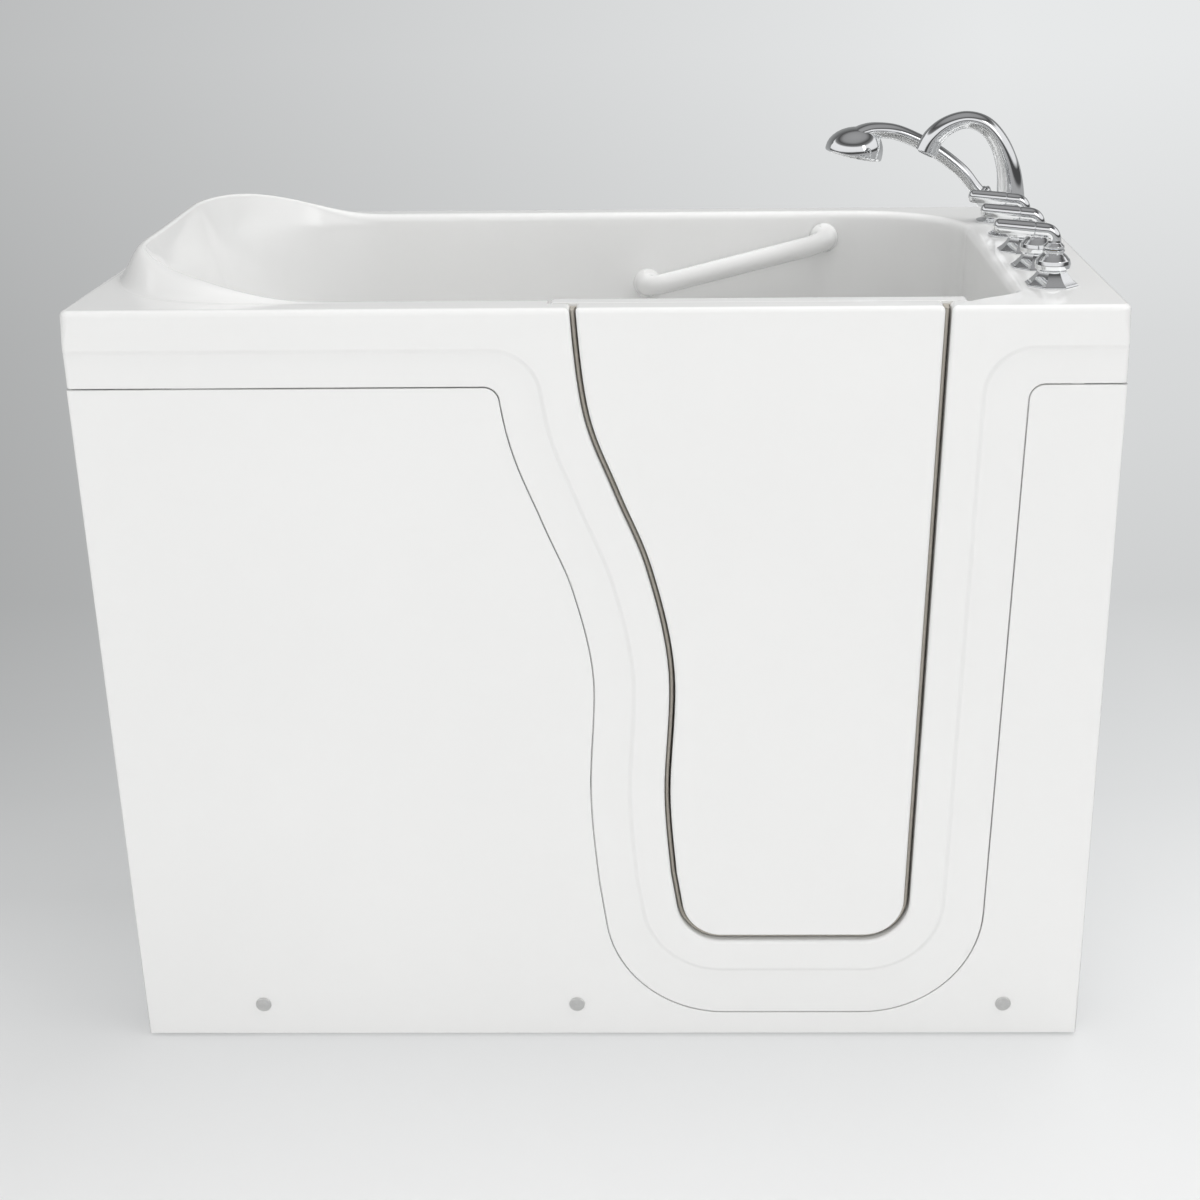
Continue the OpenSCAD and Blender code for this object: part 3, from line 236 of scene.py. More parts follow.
def gapLine(drop=0, spacing=22):
    # (point, outward direction) from the top of the free edge round the sill to the top of the hinge edge
    d = doorway
    rise = d["rim"] - d["sill"]
    low = d["sill"] - drop
    above = d["steps"][0][0]

    def hingeEdge(share):
        return d["hinge"] - d["lean"] * (1 - share)

    def centre(a, b, c):
        u, v = unit(a - b), unit(c - b)
        return b + unit(u + v) * d["cornerRadius"] / math.sin(math.acos(u @ v) / 2)

    left = d["hinge"] - d["widthLow"]
    extra = d["width"] - d["widthLow"]
    free = [np.array([left - extra * s[1], d["sill"] + rise * s[0]]) for s in spline(d["steps"], 9)]
    foot = np.array([left + d["footIn"], low])
    heel = np.array([hingeEdge(-drop / rise), low])
    top = np.array([hingeEdge(above), d["sill"] + above * rise])
    ends = free + [foot]
    nodes = [(free[i], unit(turned(ends[i + 1] - free[max(i - 1, 0)]))) for i in range(len(free))]
    for pivot, a, b in ((centre(free[-1], foot, heel), turned(foot - free[-1]), None),
                        (centre(foot, heel, top), None, turned(top - heel))):
        start = 270 if a is None else math.degrees(math.atan2(a[1], a[0])) % 360
        stop = 270 if b is None else math.degrees(math.atan2(b[1], b[0])) % 360 + (360 if b[1] >= 0 else 0)
        for k in range(21):
            angle = math.radians(mix(start, stop, k / 20))
            out = np.array([math.cos(angle), math.sin(angle)])
            nodes.append((pivot + d["cornerRadius"] * out, out))
    nodes.append((top, unit(turned(top - heel))))
    filled = []
    for (p, n), (q, m) in zip(nodes, nodes[1:]):
        count = max(1, math.ceil(np.linalg.norm(q - p) / spacing))
        filled += [(mix(p, q, k / count), unit(mix(n, m, k / count))) for k in range(count)]
    filled.append(nodes[-1])
    # the directions level out just under the rim, where the gap runs straight up
    start, run = d["upright"]
    return [(p, unit(mix(n, np.array([np.sign(n[0]), 0]), soft((p[1] - start) / run)))) for p, n in filled]


def cutLine(nodes, top, away=0):
    # the part of the line below a height, measured on the line moved outwards by away
    moved = [p + away * n for p, n in nodes]
    inside = [i for i, q in enumerate(moved) if q[1] < top - 0.4]

    def edgeNode(i, j):
        t = (top - moved[i][1]) / (moved[j][1] - moved[i][1])
        return mix(nodes[i][0], nodes[j][0], t), unit(mix(nodes[i][1], nodes[j][1], t))

    first, last = inside[0], inside[-1]
    return [edgeNode(first, first - 1)] + [nodes[i] for i in inside] + [edgeNode(last, last + 1)]


def dippedLines(height, away, radius, drop, shifts, limits, slide=0):
    # lines along the front that dip round the door: one for each outward shift, all with as many points
    nodes = [(p + np.array([slide, 0]), n) for p, n in gapLine(drop)]
    part = cutLine(nodes, height - radius, away + radius)
    pivots = [part[0][0] + (away + radius) * part[0][1], part[-1][0] + (away + radius) * part[-1][1]]
    lines = []
    for shift, limit in zip(shifts, limits):
        r = radius - shift
        a = math.degrees(math.atan2(-part[0][1][1], -part[0][1][0]))
        b = math.degrees(math.atan2(-part[-1][1][1], -part[-1][1][0])) % 360
        line = [np.array([-limit, height - shift])]
        line += [np.array([mix(-limit, pivots[0][0], k / 4), height - shift]) for k in range(1, 4)]
        line += arcPoints(pivots[0], r, 90, a, 10)
        line += [p + (away + shift) * n for p, n in part[1:-1]]
        line += arcPoints(pivots[1], r, b, 90, 10)
        line += [np.array([mix(pivots[1][0], limit, k / 3), height - shift]) for k in range(1, 4)]
        lines.append(line)
    return lines


def onFront(line, y):
    return [(p[0], y, p[1]) for p in line]


# the moulded shell
tub = {
    "rim": 1067, "halfWidth": 381, "seat": 540,
    "face": -378, "panelBack": -372, "rebate": -350, "inner": -320,  # layers of the front wall
    "flangeSide": 672.3, "flangeCorner": 6, "bandSide": 671.5, "corner": 14, "edge": 8, "lip": 12,
    "band": 1014, "ridge": 4, "raise": 3, "ridgeRadius": 62, "proud": 51.5,  # the raised band round the door
    "seam": 967, "seamAway": 106.5, "seamSlide": 1.9, "seamRadius": 21, "seamDrop": 16.5, "seamEdge": 1.5,
    "well": (-600, 538, 335),  # left, right and back of the basin at the rim
    "lean": 150 / 527, "sideDraft": 0.018, "backDraft": 0.03,
    "endRadius": 225, "tapRadius": 160, "slant": 825, "slantRadius": 20,
}
# the headrest above the rim: its height, and how far its crest and its foot lie outside the well
headrest = {
    "back": (-385, 215, 54, 15),  # along the back: where it starts, its run, its height and its crest
    "side": (47.5, 17, 60),  # along the end: height, crest and foot
    "foot": 22, "grow": 0.8,  # the foot's offset without a headrest, and how it grows with the height
    "least": 0.8, "fade": 40,  # what is left of it on the front corner
    "limit": (660, 373), "crease": 4, "creaseFrom": 30, "swell": 0.82,
    # round the corner: (angle, height, crest, foot)
    "corner": [(0, 47.5, 17, 60), (10, 46.5, 22, 61.3), (18.6, 44.5, 29, 63.4), (26, 37.5, 25, 66.4),
               (35, 31, 19, 67.5), (45, 25, 13, 64.5), (55.5, 21, 12.6, 53.6), (62.4, 16.5, 12.3, 44.5),
               (71.8, 10.5, 12.1, 32.2), (81, 4.5, 12, 23.8), (90, 0.8, 12, 22)],
}
# points along each stretch of the rim, from the hinge pocket round to the free side
ringSteps = {"slant": 7, "corner": 8, "tapSide": 10, "tapCorner": 22, "back": 24, "endCorner": 34, "end": 6,
             "front": 16}
wellLevels = (1027, 1005, 980, 950, 915, 880, 840, 800, 760, 720, 680, 640, 610, 590, 580)


def endDepth(z):
    return soft((tub["rim"] - z) / (tub["rim"] - tub["seat"]))


def headrestAt(p, n):
    # (height, crest's offset, foot's offset) at a point of the rim with its outward direction
    start, run, height, crest = headrest["back"]
    sideHeight, sideCrest, sideFoot = headrest["side"]
    cx, reach = tub["well"][0] + tub["endRadius"], tub["endRadius"]
    rear, front = tub["well"][2] - reach, tub["inner"] + reach
    if p[1] >= rear - 0.01:
        h = height * soft((start - p[0]) / run)
        edges = [(lim - abs(v)) / max(abs(d), 1e-6) for lim, v, d in zip(headrest["limit"], p, n)]
        return h, mix(tub["lip"], crest, h / height), min([headrest["foot"] + headrest["grow"] * h] + edges)
    if p[0] > cx:
        h = headrest["least"] * (1 - soft((p[0] - cx) / headrest["fade"])) if p[1] < front else 0
        return h, tub["lip"], headrest["foot"]
    if p[1] >= front:
        t = (rear - p[1]) / (rear - front)
        return mix(height, sideHeight, t), mix(crest, sideCrest, t), sideFoot
    angle = math.degrees(math.atan2(front - p[1], cx - p[0]))
    keys = list(zip(*headrest["corner"]))
    return tuple(float(np.interp(angle, keys[0], column)) for column in keys[1:])


def wellRing(z, frontEnd):
    # plan of the well at a height as (point, outward direction), from the hinge pocket round to frontEnd
    low = tub["rim"] - min(z, tub["rim"])
    x0 = tub["well"][0] + tub["lean"] * low
    x1 = tub["well"][1] - tub["sideDraft"] * low
    y1 = tub["well"][2] - tub["backDraft"] * low
    y0 = tub["inner"]
    endRound = tub["endRadius"] * (1 - 0.4 * endDepth(z))
    tapRound = tub["tapRadius"] * (1 - 0.3 * endDepth(z))
    r, steps = tub["slantRadius"], ringSteps
    slantOut = np.array([1, -1]) / math.sqrt(2)
    pivot = np.array([x1 - r, x1 - tub["slant"] + math.tan(math.radians(22.5)) * r])
    start = np.array([doorway["pocketRight"], tub["rebate"]])
    stop = pivot + r * slantOut
    ring = [(mix(start, stop, k / steps["slant"]), slantOut) for k in range(steps["slant"])]

    def addArc(centre, radius, a0, a1, count):
        for k in range(count + 1):
            angle = math.radians(mix(a0, a1, k / count))
            out = np.array([math.cos(angle), math.sin(angle)])
            ring.append((np.array(centre) + radius * out, out))

    def addStraight(target, count):
        a, out = ring[-1]
        for k in range(1, count):
            ring.append((mix(a, np.array(target), k / count), out))

    addArc(pivot, r, 315, 360, steps["corner"])
    addStraight((x1, y1 - tapRound), steps["tapSide"])
    addArc((x1 - tapRound, y1 - tapRound), tapRound, 0, 90, steps["tapCorner"])
    addStraight((x0 + endRound, y1), steps["back"])
    addArc((x0 + endRound, y1 - endRound), endRound, 90, 180, steps["endCorner"])
    addStraight((x0, y0 + endRound), steps["end"])
    addArc((x0 + endRound, y0 + endRound), endRound, 180, 270, steps["endCorner"])
    addStraight((frontEnd, y0), steps["front"])
    ring.append((np.array([frontEnd, y0]), np.array([0, -1])))
    return ring


def outerRing(hx, hy, r, startX, endX):
    # plan of the rim's outer edge with the same number of points as wellRing
    steps = ringSteps
    ring = [np.array([startX, -hy])]

    def addStraight(target, count):
        a = ring[-1]
        ring.extend(mix(a, np.array(target), k / count) for k in range(1, count))

    addStraight((hx - r, -hy), steps["slant"])
    ring.extend(arcPoints((hx - r, -hy + r), r, 270, 360, steps["corner"]))
    addStraight((hx, hy - r), steps["tapSide"])
    ring.extend(arcPoints((hx - r, hy - r), r, 0, 90, steps["tapCorner"]))
    addStraight((-hx + r, hy), steps["back"])
    ring.extend(arcPoints((-hx + r, hy - r), r, 90, 180, steps["endCorner"]))
    addStraight((-hx, -hy + r), steps["end"])
    ring.extend(arcPoints((-hx + r, -hy + r), r, 180, 270, steps["endCorner"]))
    addStraight((endX, -hy), steps["front"])
    ring.append(np.array([endX, -hy]))
    return ring


def quarter(steps):
    return [math.radians(90 * k / steps) for k in range(steps + 1)]


ridgeShares = (-1, -0.7, -0.4, -0.13, 0.13, 0.4, 0.7, 1)
edgeShares = ((1, 0), (0.6, 0.08), (0.29, 0.29), (0.08, 0.6), (0, 1))  # a small rounded edge, as (in, back)


def frontRidge(shift):
    return soft((shift + tub["ridge"]) / (2 * tub["ridge"]))


def buildFrontFace(sheet):
    t = tub
    shifts = [t["ridge"] * s for s in ridgeShares]
    heights = [-t["halfWidth"] + t["raise"] * frontRidge(s) for s in shifts]
    limits = [mix(t["bandSide"], t["flangeSide"], frontRidge(s)) - t["flangeCorner"] for s in shifts]
    ridge = dippedLines(t["band"], t["proud"], t["ridgeRadius"], 0, shifts, limits)
    addGrid(sheet, [onFront(line, y) for line, y in zip(ridge, heights)], (0, -1, 0))
    e = t["seamEdge"]
    edge = [(-e * into, t["face"] + e * back) for into, back in edgeShares] + [(0, t["panelBack"])]
    flangeEnd = t["flangeSide"] - t["flangeCorner"]
    seam = dippedLines(t["seam"], t["seamAway"], t["seamRadius"], t["seamDrop"], [s for s, y in edge],
                       [flangeEnd] * len(edge), t["seamSlide"])
    addGrid(sheet, [onFront(line, y) for line, (s, y) in zip(seam, edge)], (0, -1, 0))
    addFlat(sheet, onFront(ridge[-1] + seam[0][::-1], t["face"]), (0, -1, 0))
    gap = cutLine(gapLine(), t["rim"] - t["edge"])
    away = doorway["jamb"] + doorway["edgeRound"]
    bandEnd = limits[0]
    topEnd = t["bandSide"] - t["corner"]
    top = t["rim"] - t["edge"]
    rise = [(mix(bandEnd, topEnd, soft(k / 4)), mix(t["band"] + t["ridge"], top, k / 4)) for k in range(1, 5)]
    proud = [np.array([-x, z]) for x, z in rise] + [p + away * n for p, n in gap]
    proud += [np.array([x, z]) for x, z in rise[::-1]]
    addFlat(sheet, onFront(proud + ridge[0][::-1], -t["halfWidth"]), (0, -1, 0))
    return gap


def buildGapEdge(sheet, gap):
    # the rounded edge, the jamb, the rebate that the gasket closes on, and the pocket round the door's flange
    t, d = tub, doorway
    r = d["edgeRound"]
    profile = [(d["jamb"] + r - r * math.sin(a), -t["halfWidth"] + r - r * math.cos(a)) for a in quarter(6)]
    bend, middle = d["jambRound"]
    profile += [(d["jamb"], d["jambBack"]), (d["jamb"], t["rebate"] - bend),
                (d["jamb"] + middle, t["rebate"] - middle), (d["jamb"] + bend, t["rebate"])]
    rows = [[(p[0] + w * n[0], y, p[1] + w * n[1]) for p, n in gap] for w, y in profile]
    addGrid(sheet, rows, (0, -0.5, 1))
    floor = d["sill"] - d["pocket"]
    outer = []
    for p, n in gap:
        if n[0] < 0 or n[1] < -0.9 and p[0] < d["levelFrom"]:
            outer.append(p + d["pocket"] * n)
        else:
            reach = [(d["pocketRight"] - p[0]) / max(n[0], 1e-6), (floor - p[1]) / min(n[1], -1e-6)]
            outer.append(p + min(reach) * n)
    lowRight = np.array([d["pocketRight"], floor])
    corner = min(range(len(outer)), key=lambda i: np.abs(outer[i] - lowRight).sum())
    outer[corner] = lowRight
    inner = [p + (d["jamb"] + bend) * n for p, n in gap]
    addGrid(sheet, [onFront(inner, t["rebate"]), onFront(outer, t["rebate"])], (0, 1, 0), group=1)
    x, top = outer[0][0], d["pocketTop"]
    wall = [(x, top)] + [(q[0], q[1]) for q in outer[:corner + 1] if q[1] < top]
    start, run, wide = d["flare"]
    back = [(x + wide * soft((x - start) / run), z) for x, z in wall]
    addGrid(sheet, [[(mix(a[0], b[0], s), mix(t["rebate"], t["inner"], s), a[1]) for a, b in zip(wall, back)]
                    for s in (0, 0.5, 1)], (1, 0, 0.5), group=2)
    lip = [(x, t["inner"] - t["lip"] * (1 - math.sin(a)), t["rim"] - t["lip"] * (1 - math.cos(a)))
           for a in quarter(8)]
    addFlat(sheet, [(x, t["rebate"], top), (x, t["rebate"], t["rim"])] + lip + [(x, t["inner"], top)],
            (1, 0, 0), group=2)
    return back


def buildGapTop(sheet, edgeX, outX, way):
    # the rim's rounded end beside the gap; way is -1 on the free side and 1 on the hinge side
    t, d = tub, doorway
    rows, backs = [], []
    for a in quarter(7):
        inset = t["edge"] * (1 - math.cos(a))
        z = t["rim"] - t["edge"] + t["edge"] * math.sin(a)
        r = max(0.8, d["edgeRound"] - 0.7 * inset)
        x = edgeX + way * inset
        y = -t["halfWidth"] + inset
        arc = [(x + way * r * (1 - math.cos(b)), y + r * (1 - math.sin(b)), z) for b in quarter(6)]
        rows.append([(outX, y, z)] + arc[::-1] + [(x, d["jambBack"], z), (x, t["rebate"], z)])
        backs.append([(x, t["rebate"], z), (outX, t["rebate"], z)])
    addGrid(sheet, rows, (-way, -1, 0.4))
    addFlat(sheet, rows[-1] + [(outX, t["rebate"], t["rim"])], (0, 0, 1))
    addGrid(sheet, backs, (0, 1, 0), group=1)


def smoothed(values):
    # the mean with both neighbours, three times over, so that no key point shows
    table = np.array(values, float)
    for k in range(3):
        table[1:-1] = (table[:-2] + 2 * table[1:-1] + table[2:]) / 4
    return [tuple(row) for row in table]


def buildRim(sheet, pocketEdge):
    t = tub
    startX, endX = doorway["pocketRight"], pocketEdge[0][0]
    base = wellRing(t["rim"], endX)
    shape = smoothed([headrestAt(p, n) for p, n in base])
    heights = [h for h, crest, foot in shape]
    # the lip grows from nothing at the pocket's corner
    scales = [soft(i / ringSteps["slant"]) for i in range(len(base))]
    lips = [s * mix(t["lip"], headrest["crease"], soft(h / headrest["creaseFrom"]))
            for h, s in zip(heights, scales)]
    rows = []
    for a in quarter(7):
        inset, z = t["edge"] * (1 - math.cos(a)), t["rim"] - t["edge"] + t["edge"] * math.sin(a)
        ring = outerRing(t["bandSide"] - inset, t["halfWidth"] - inset, t["corner"] - inset, startX, endX)
        rows.append([(p[0], p[1], z) for p in ring])

    def ringRow(ring, uz):
        return [(p[0] + u * n[0], p[1] + u * n[1], z) for (p, n), (u, z) in zip(ring, uz)]

    crest = [c * s for (h, c, f), s in zip(shape, scales)]
    foot = [f * s for (h, c, f), s in zip(shape, scales)]
    for k in range(13):
        share = k / 12
        rise = soft(share ** headrest["swell"])
        uz = [(mix(f, c, share), t["rim"] + h * rise) for f, c, h in zip(foot, crest, heights)]
        rows.append(ringRow(base, uz))
    for a in quarter(8)[1:]:
        uz = [(c - r * math.sin(a), t["rim"] + h - r * (1 - math.cos(a)))
              for c, h, r in zip(crest, heights, lips)]
        rows.append(ringRow(base, uz))
    for k in range(1, 8):
        line = []
        for i, (h, c, r) in enumerate(zip(heights, crest, lips)):
            z = mix(t["rim"] + h - r, wellLevels[0], k / 7)
            ring = wellRing(z, endX)
            lean = (c - r) * max(0, z - t["rim"] + r) / max(h, 0.01) if h > 0.01 else 0
            line.append(ringRow([ring[i]], [(lean, z)])[0])
        rows.append(line)
    addGrid(sheet, rows, (0, -0.2, 1))
    return rows[-1]


def frontEndAt(pocketEdge, z):
    # where the pocket's free side meets the inner face of the front wall at a height
    for (x0, z0), (x1, z1) in zip(pocketEdge, pocketEdge[1:]):
        if z1 <= z <= z0 and z0 > z1:
            return mix(x0, x1, (z0 - z) / (z0 - z1))
    return pocketEdge[0][0]


def buildWell(sheet, pocketEdge):
    rows = []
    for z in wellLevels:
        ring = wellRing(z, frontEndAt(pocketEdge, z))
        rows.append([(p[0], p[1], z) for p, n in ring])
    addGrid(sheet, rows, (0, -1, 0))


def buildFlanks(sheet):
    # the rim's outer face along both ends and the back, down to the flange's lower edge
    t = tub
    e, g, r = t["seamEdge"], t["ridge"], t["flangeCorner"]
    thick = 5
    rows = [(t["seam"], t["flangeSide"] - thick, -t["face"] - thick, r - thick)]
    rows += [(t["seam"] + e * rise, t["flangeSide"] - e * cut, -t["face"] - e * cut, r - e * cut)
             for cut, rise in edgeShares]
    for s in ridgeShares[::-1]:
        out = frontRidge(s * g)
        side = mix(t["bandSide"], t["flangeSide"], out)
        rows.append((t["band"] - s * g, side, t["halfWidth"] - t["raise"] * out, r))
    rows += [(mix(t["band"] + g, t["rim"] - t["edge"], k / 4), t["bandSide"], t["halfWidth"],
              mix(r, t["corner"], soft(k / 4))) for k in range(1, 5)]
    grid = []
    for z, hx, hy, radius in rows:
        ring = outerRing(hx, hy, radius, 0, 0)
        grid.append([(p[0], p[1], z) for p in ring[ringSteps["slant"]:len(ring) - ringSteps["front"]]])
    addGrid(sheet, grid, (0, 1, 0))


def restOfCad(node, sheet, level, foot, far=9, farAbove=25):
    # the faces of a CAD node that the finer sheet doesn't already draw: its back, its underside and all
    # that lies lower than the well's foot
    points = [Vector(p * mm) for p in sheet["points"]]
    tree = BVHTree.FromPolygons(points, sheet["faces"])
    bm = mergedCad(node)
    bmesh.ops.bisect_plane(bm, geom=bm.verts[:] + bm.edges[:] + bm.faces[:], plane_co=(0, 0, foot * mm),
                           plane_no=(0, 0, 1))
    drawn = []
    for face in bm.faces:
        centre = face.calc_center_median()
        hit, normal, index, distance = tree.find_nearest(centre)
        reach = farAbove if centre.z > (level + 2) * mm else far
        if hit is None or distance > reach * mm or normal.dot(face.normal) < 0.3:
            continue
        if abs(hit.z - foot * mm) > 0.5 * mm or centre.z > foot * mm:
            drawn.append(face)
    bmesh.ops.delete(bm, geom=drawn, context="FACES")
    for vert in bm.verts:
        vert.co.z = min(vert.co.z, mix(level * mm, vert.co.z, 0.5))
    return shadeBySharpness(meshFrom(bm, node + "Back"), 32)


def makeShell(gelcoat):
    sheet = newSheet()
    gap = buildFrontFace(sheet)
    pocketEdge = buildGapEdge(sheet, gap)
    buildGapTop(sheet, gap[0][0][0] - doorway["jamb"], pocketEdge[0][0], -1)
    buildGapTop(sheet, gap[-1][0][0] + doorway["jamb"], doorway["pocketRight"], 1)
    buildRim(sheet, pocketEdge)
    buildWell(sheet, pocketEdge)
    buildFlanks(sheet)
    hidden = restOfCad("tub_shell", sheet, tub["rim"], wellLevels[-1])
    shell = finishSheet(sheet, "mouldedShell", gelcoat, hidden)
    placePiece(shell, "tub", "gelcoat", "tub_shell")
    print("shell:", len(shell.data.polygons), "faces")


# the removable front panel
panel = {
    "side": 673, "foot": 4, "gap": 1.6, "edge": 1.5, "sideEdge": 4, "thick": 6,
    "return": 26,  # how far each end folds back
}


def makePanel(gelcoat):
    sheet = newSheet()
    p, t = panel, tub
    top, away, radius = t["seam"] - p["gap"], t["seamAway"] + p["gap"], t["seamRadius"] - p["gap"]

    def loop(edgeIn, sideIn, edgeY, sideY):
        limit = p["side"] - sideIn
        line = dippedLines(top, away, radius, t["seamDrop"], [edgeIn], [limit], t["seamSlide"])[0]
        ring = [(math.copysign(limit, x), sideY, z) if abs(x) > limit - 0.01 else (x, edgeY, z) for x, z in line]
        low = p["foot"] + edgeIn
        high = line[0][1]
        ring += [(limit, sideY, mix(high, low, k / 6)) for k in range(1, 7)]
        ring += [(mix(limit, -limit, k / 8), edgeY, low) for k in range(1, 8)]
        return ring + [(-limit, sideY, mix(low, high, k / 6)) for k in range(0, 6)]

    rows = []
    for a in quarter(5):
        into, back = 1 - math.sin(a), 1 - math.cos(a)
        rows.append(loop(p["edge"] * into, p["sideEdge"] * into,
                         t["face"] + p["edge"] * back, t["face"] + p["sideEdge"] * back))
    rows.append(loop(0, 0, t["panelBack"], t["face"] + p["return"]))
    addGrid(sheet, rows, (0, 0, 1), closed=True)
    addFlat(sheet, rows[0], (0, -1, 0))
    lip = loop(0, p["thick"], t["panelBack"], t["face"] + p["return"])
    back = loop(0, p["thick"], t["panelBack"], t["panelBack"])
    addGrid(sheet, [rows[-1], lip], (0, 1, 0), closed=True, group=1)
    addGrid(sheet, [lip, back], (0, 1, 0), closed=True, group=2)
    addFlat(sheet, back, (0, 1, 0), group=3)
    piece = finishSheet(sheet, "accessPanel", gelcoat)
    placePiece(piece, "tub", "gelcoat", "front_panel")
    print("front panel done")


# the door: an outer plug, an inner flange and the gasket between flange and jamb
door = {
    "front": -381, "joint": -346, "inside": -318,  # y of the outer face, of the joint and of the inner face
    "plug": -4, "lap": 30,  # how far the outer plug and the inner flange reach past the gap's middle line
    "edge": 5, "topEdge": 7, "innerEdge": 5, "hairline": 0.7, "cornerLeft": 4, "cornerRight": 7,
}
# the gasket's section as (outwards from the gap's middle line, y): the dark groove beside its bulb lies
# at the jamb on the hinge edge and at the door on the free edge
gasket = {
    "below": 4,
    "hingeSide": [(-4, -346), (-4, -353), (-4, -360), (-4, -368), (-3, -370.6), (-1.2, -371.6), (1.2, -370),
                  (1.9, -353.5), (3.4, -351)],
    "freeSide": [(-4, -346), (-4, -351), (-1.5, -352.5), (-1.5, -368), (-0.6, -370.6), (1.4, -371.6),
                 (3.4, -369), (3.6, -353.5), (4, -351)],
    "flap": [(5, -350.4), (9, -350.8), (13, -350.4), (15.4, -349.4), (16, -347.5), (15.8, -346.1)],
}


def doorOutline(away, drop, cornerLeft, cornerRight):
    # closed outline as (x, z, share of the top edge), from the top of the free side round to the top
    top = tub["rim"] - drop
    cut = cutLine(gapLine(), top - max(cornerLeft, cornerRight), away)
    sides = [p + away * n for p, n in cut]
    left, right = sides[0][0], sides[-1][0]
    leftArc = arcPoints((left + cornerLeft, top - cornerLeft), cornerLeft, 90, 180, 6)
    rightArc = arcPoints((right - cornerRight, top - cornerRight), cornerRight, 0, 90, 6)
    ring = [(x, z, soft(1 - k / 6)) for k, (x, z) in enumerate(leftArc)]
    ring += [(x, z, 0) for x, z in sides]
    ring += [(x, z, soft(k / 6)) for k, (x, z) in enumerate(rightArc)]
    ring += [(mix(right - cornerRight, left + cornerLeft, k / 12), top, 1) for k in range(1, 12)]
    return ring


def roundedSlab(sheet, away, front, back, frontEdge, topEdge, backEdge):
    # a slab in the door's outline with rounded edges on both faces
    d = door

    def row(a, edge, upper, face, way):
        side, over = edge * (1 - math.sin(a)), upper * (1 - math.sin(a))
        corners = (max(0.5, d[corner] - side) for corner in ("cornerLeft", "cornerRight"))
        ring = doorOutline(away - side, over, *corners)
        return [(x, face + way * mix(edge, upper, s) * (1 - math.cos(a)), z) for x, z, s in ring]

    rows = [row(a, frontEdge, topEdge, front, 1) for a in quarter(6)]
    rows += [row(a, backEdge, backEdge, back, -1) for a in quarter(4)[::-1]]
    middle = rows[len(rows) // 2]
    addGrid(sheet, rows, np.array(middle[len(middle) // 2]) - np.mean(middle, axis=0), closed=True)
    addFlat(sheet, rows[0], (0, -1, 0))
    addFlat(sheet, rows[-1], (0, 1, 0))


def makeDoor(gelcoat, seal):
    d, g = door, gasket
    outer = newSheet()
    roundedSlab(outer, d["plug"], d["front"], d["joint"], d["edge"], d["topEdge"], d["hairline"])
    placePiece(finishSheet(outer, "doorOuter", gelcoat), "door", "gelcoat", "door_outer_shell")
    inner = newSheet()
    roundedSlab(inner, d["lap"], d["joint"], d["inside"], d["hairline"], d["hairline"], d["innerEdge"])
    placePiece(finishSheet(inner, "doorInner", gelcoat), "door", "gelcoat", "door_inner_shell")
    strip = newSheet()
    line = [(p, n, soft(0.5 + 0.8 * n[0])) for p, n in cutLine(gapLine(), tub["rim"] - g["below"])]
    rows = [[(p[0] + mix(u, w, s) * n[0], mix(v, y, s), p[1] + mix(u, w, s) * n[1]) for p, n, s in line]
            for (u, v), (w, y) in zip(g["freeSide"] + g["flap"], g["hingeSide"] + g["flap"])]
    addGrid(strip, rows, (0, -1, 0))
    for end in (0, -1):
        addFlat(strip, [row[end] for row in rows], (0, 0, 1), group=1)
    placePiece(finishSheet(strip, "doorSeal", seal), "door", "seal", "door_gasket")
    print("door and seal done")


# tubes and turned pieces
def frameAlong(path, i):
    a, b = path[max(i - 1, 0)], path[min(i + 1, len(path) - 1)]
    return unit(b - a)


def addTube(sheet, path, sizes, across, steps=32, ends=(True, True)):
    # a tube along a path; sizes are (half thickness, half width) and across is the width's direction
    rows = []
    across = unit(across)
    for i, (p, (thick, wide)) in enumerate(zip(path, sizes)):
        ahead = frameAlong(path, i)
        up = unit(np.cross(across, ahead))
        rows.append([p + up * thick * math.cos(a) + across * wide * math.sin(a) for a in roundAngles(steps)])
    probe = rows[len(rows) // 2][steps // 2] - path[len(rows) // 2]
    addGrid(sheet, rows, probe, closed=True)
    if ends[0]:
        addFlat(sheet, rows[0], path[0] - path[1], group=1)
    if ends[1]:
        addFlat(sheet, rows[-1], path[-1] - path[-2], group=1)
    return rows


def roundProfile(corners, radius=0.8, steps=3):
    # an outline of (radius, height) with every inside corner replaced by a small arc
    pts = [np.array(c, float) for c in corners]
    out = [pts[0]]
    for a, b, c in zip(pts, pts[1:], pts[2:]):
        reach = min(radius, 0.45 * np.linalg.norm(a - b), 0.45 * np.linalg.norm(c - b))
        p, q = b + unit(a - b) * reach, b + unit(c - b) * reach
        out += [mix(mix(p, b, k / steps), mix(b, q, k / steps), k / steps) for k in range(steps + 1)]
    return out + [pts[-1]]


def roundAngles(steps):
    return [2 * math.pi * k / steps for k in range(steps)]


def addTurned(sheet, corners, place, radius=0.8, steps=40):
    # a turned piece about +Z of the matrix place
    profile = roundProfile(corners, radius)
    rows = [[tuple(place @ Vector((r * math.cos(a), r * math.sin(a), h))) for a in roundAngles(steps)]
            for r, h in profile]
    middle = len(rows) // 2
    probe = np.array(rows[middle][steps // 2]) - np.array(tuple(place @ Vector((0, 0, profile[middle][1]))))
    if np.linalg.norm(probe) < 1e-6:
        probe = np.array(tuple(place.to_3x3() @ Vector((-1, 0, 0))))
    addGrid(sheet, rows, probe, closed=True)


def axisPlace(foot, head):
    # a matrix that puts the foot at the origin's place and points +Z at the head
    turn = (Vector(head) - Vector(foot)).to_track_quat("Z", "Y").to_matrix().to_4x4()
    return Matrix.Translation(Vector(foot)) @ turn


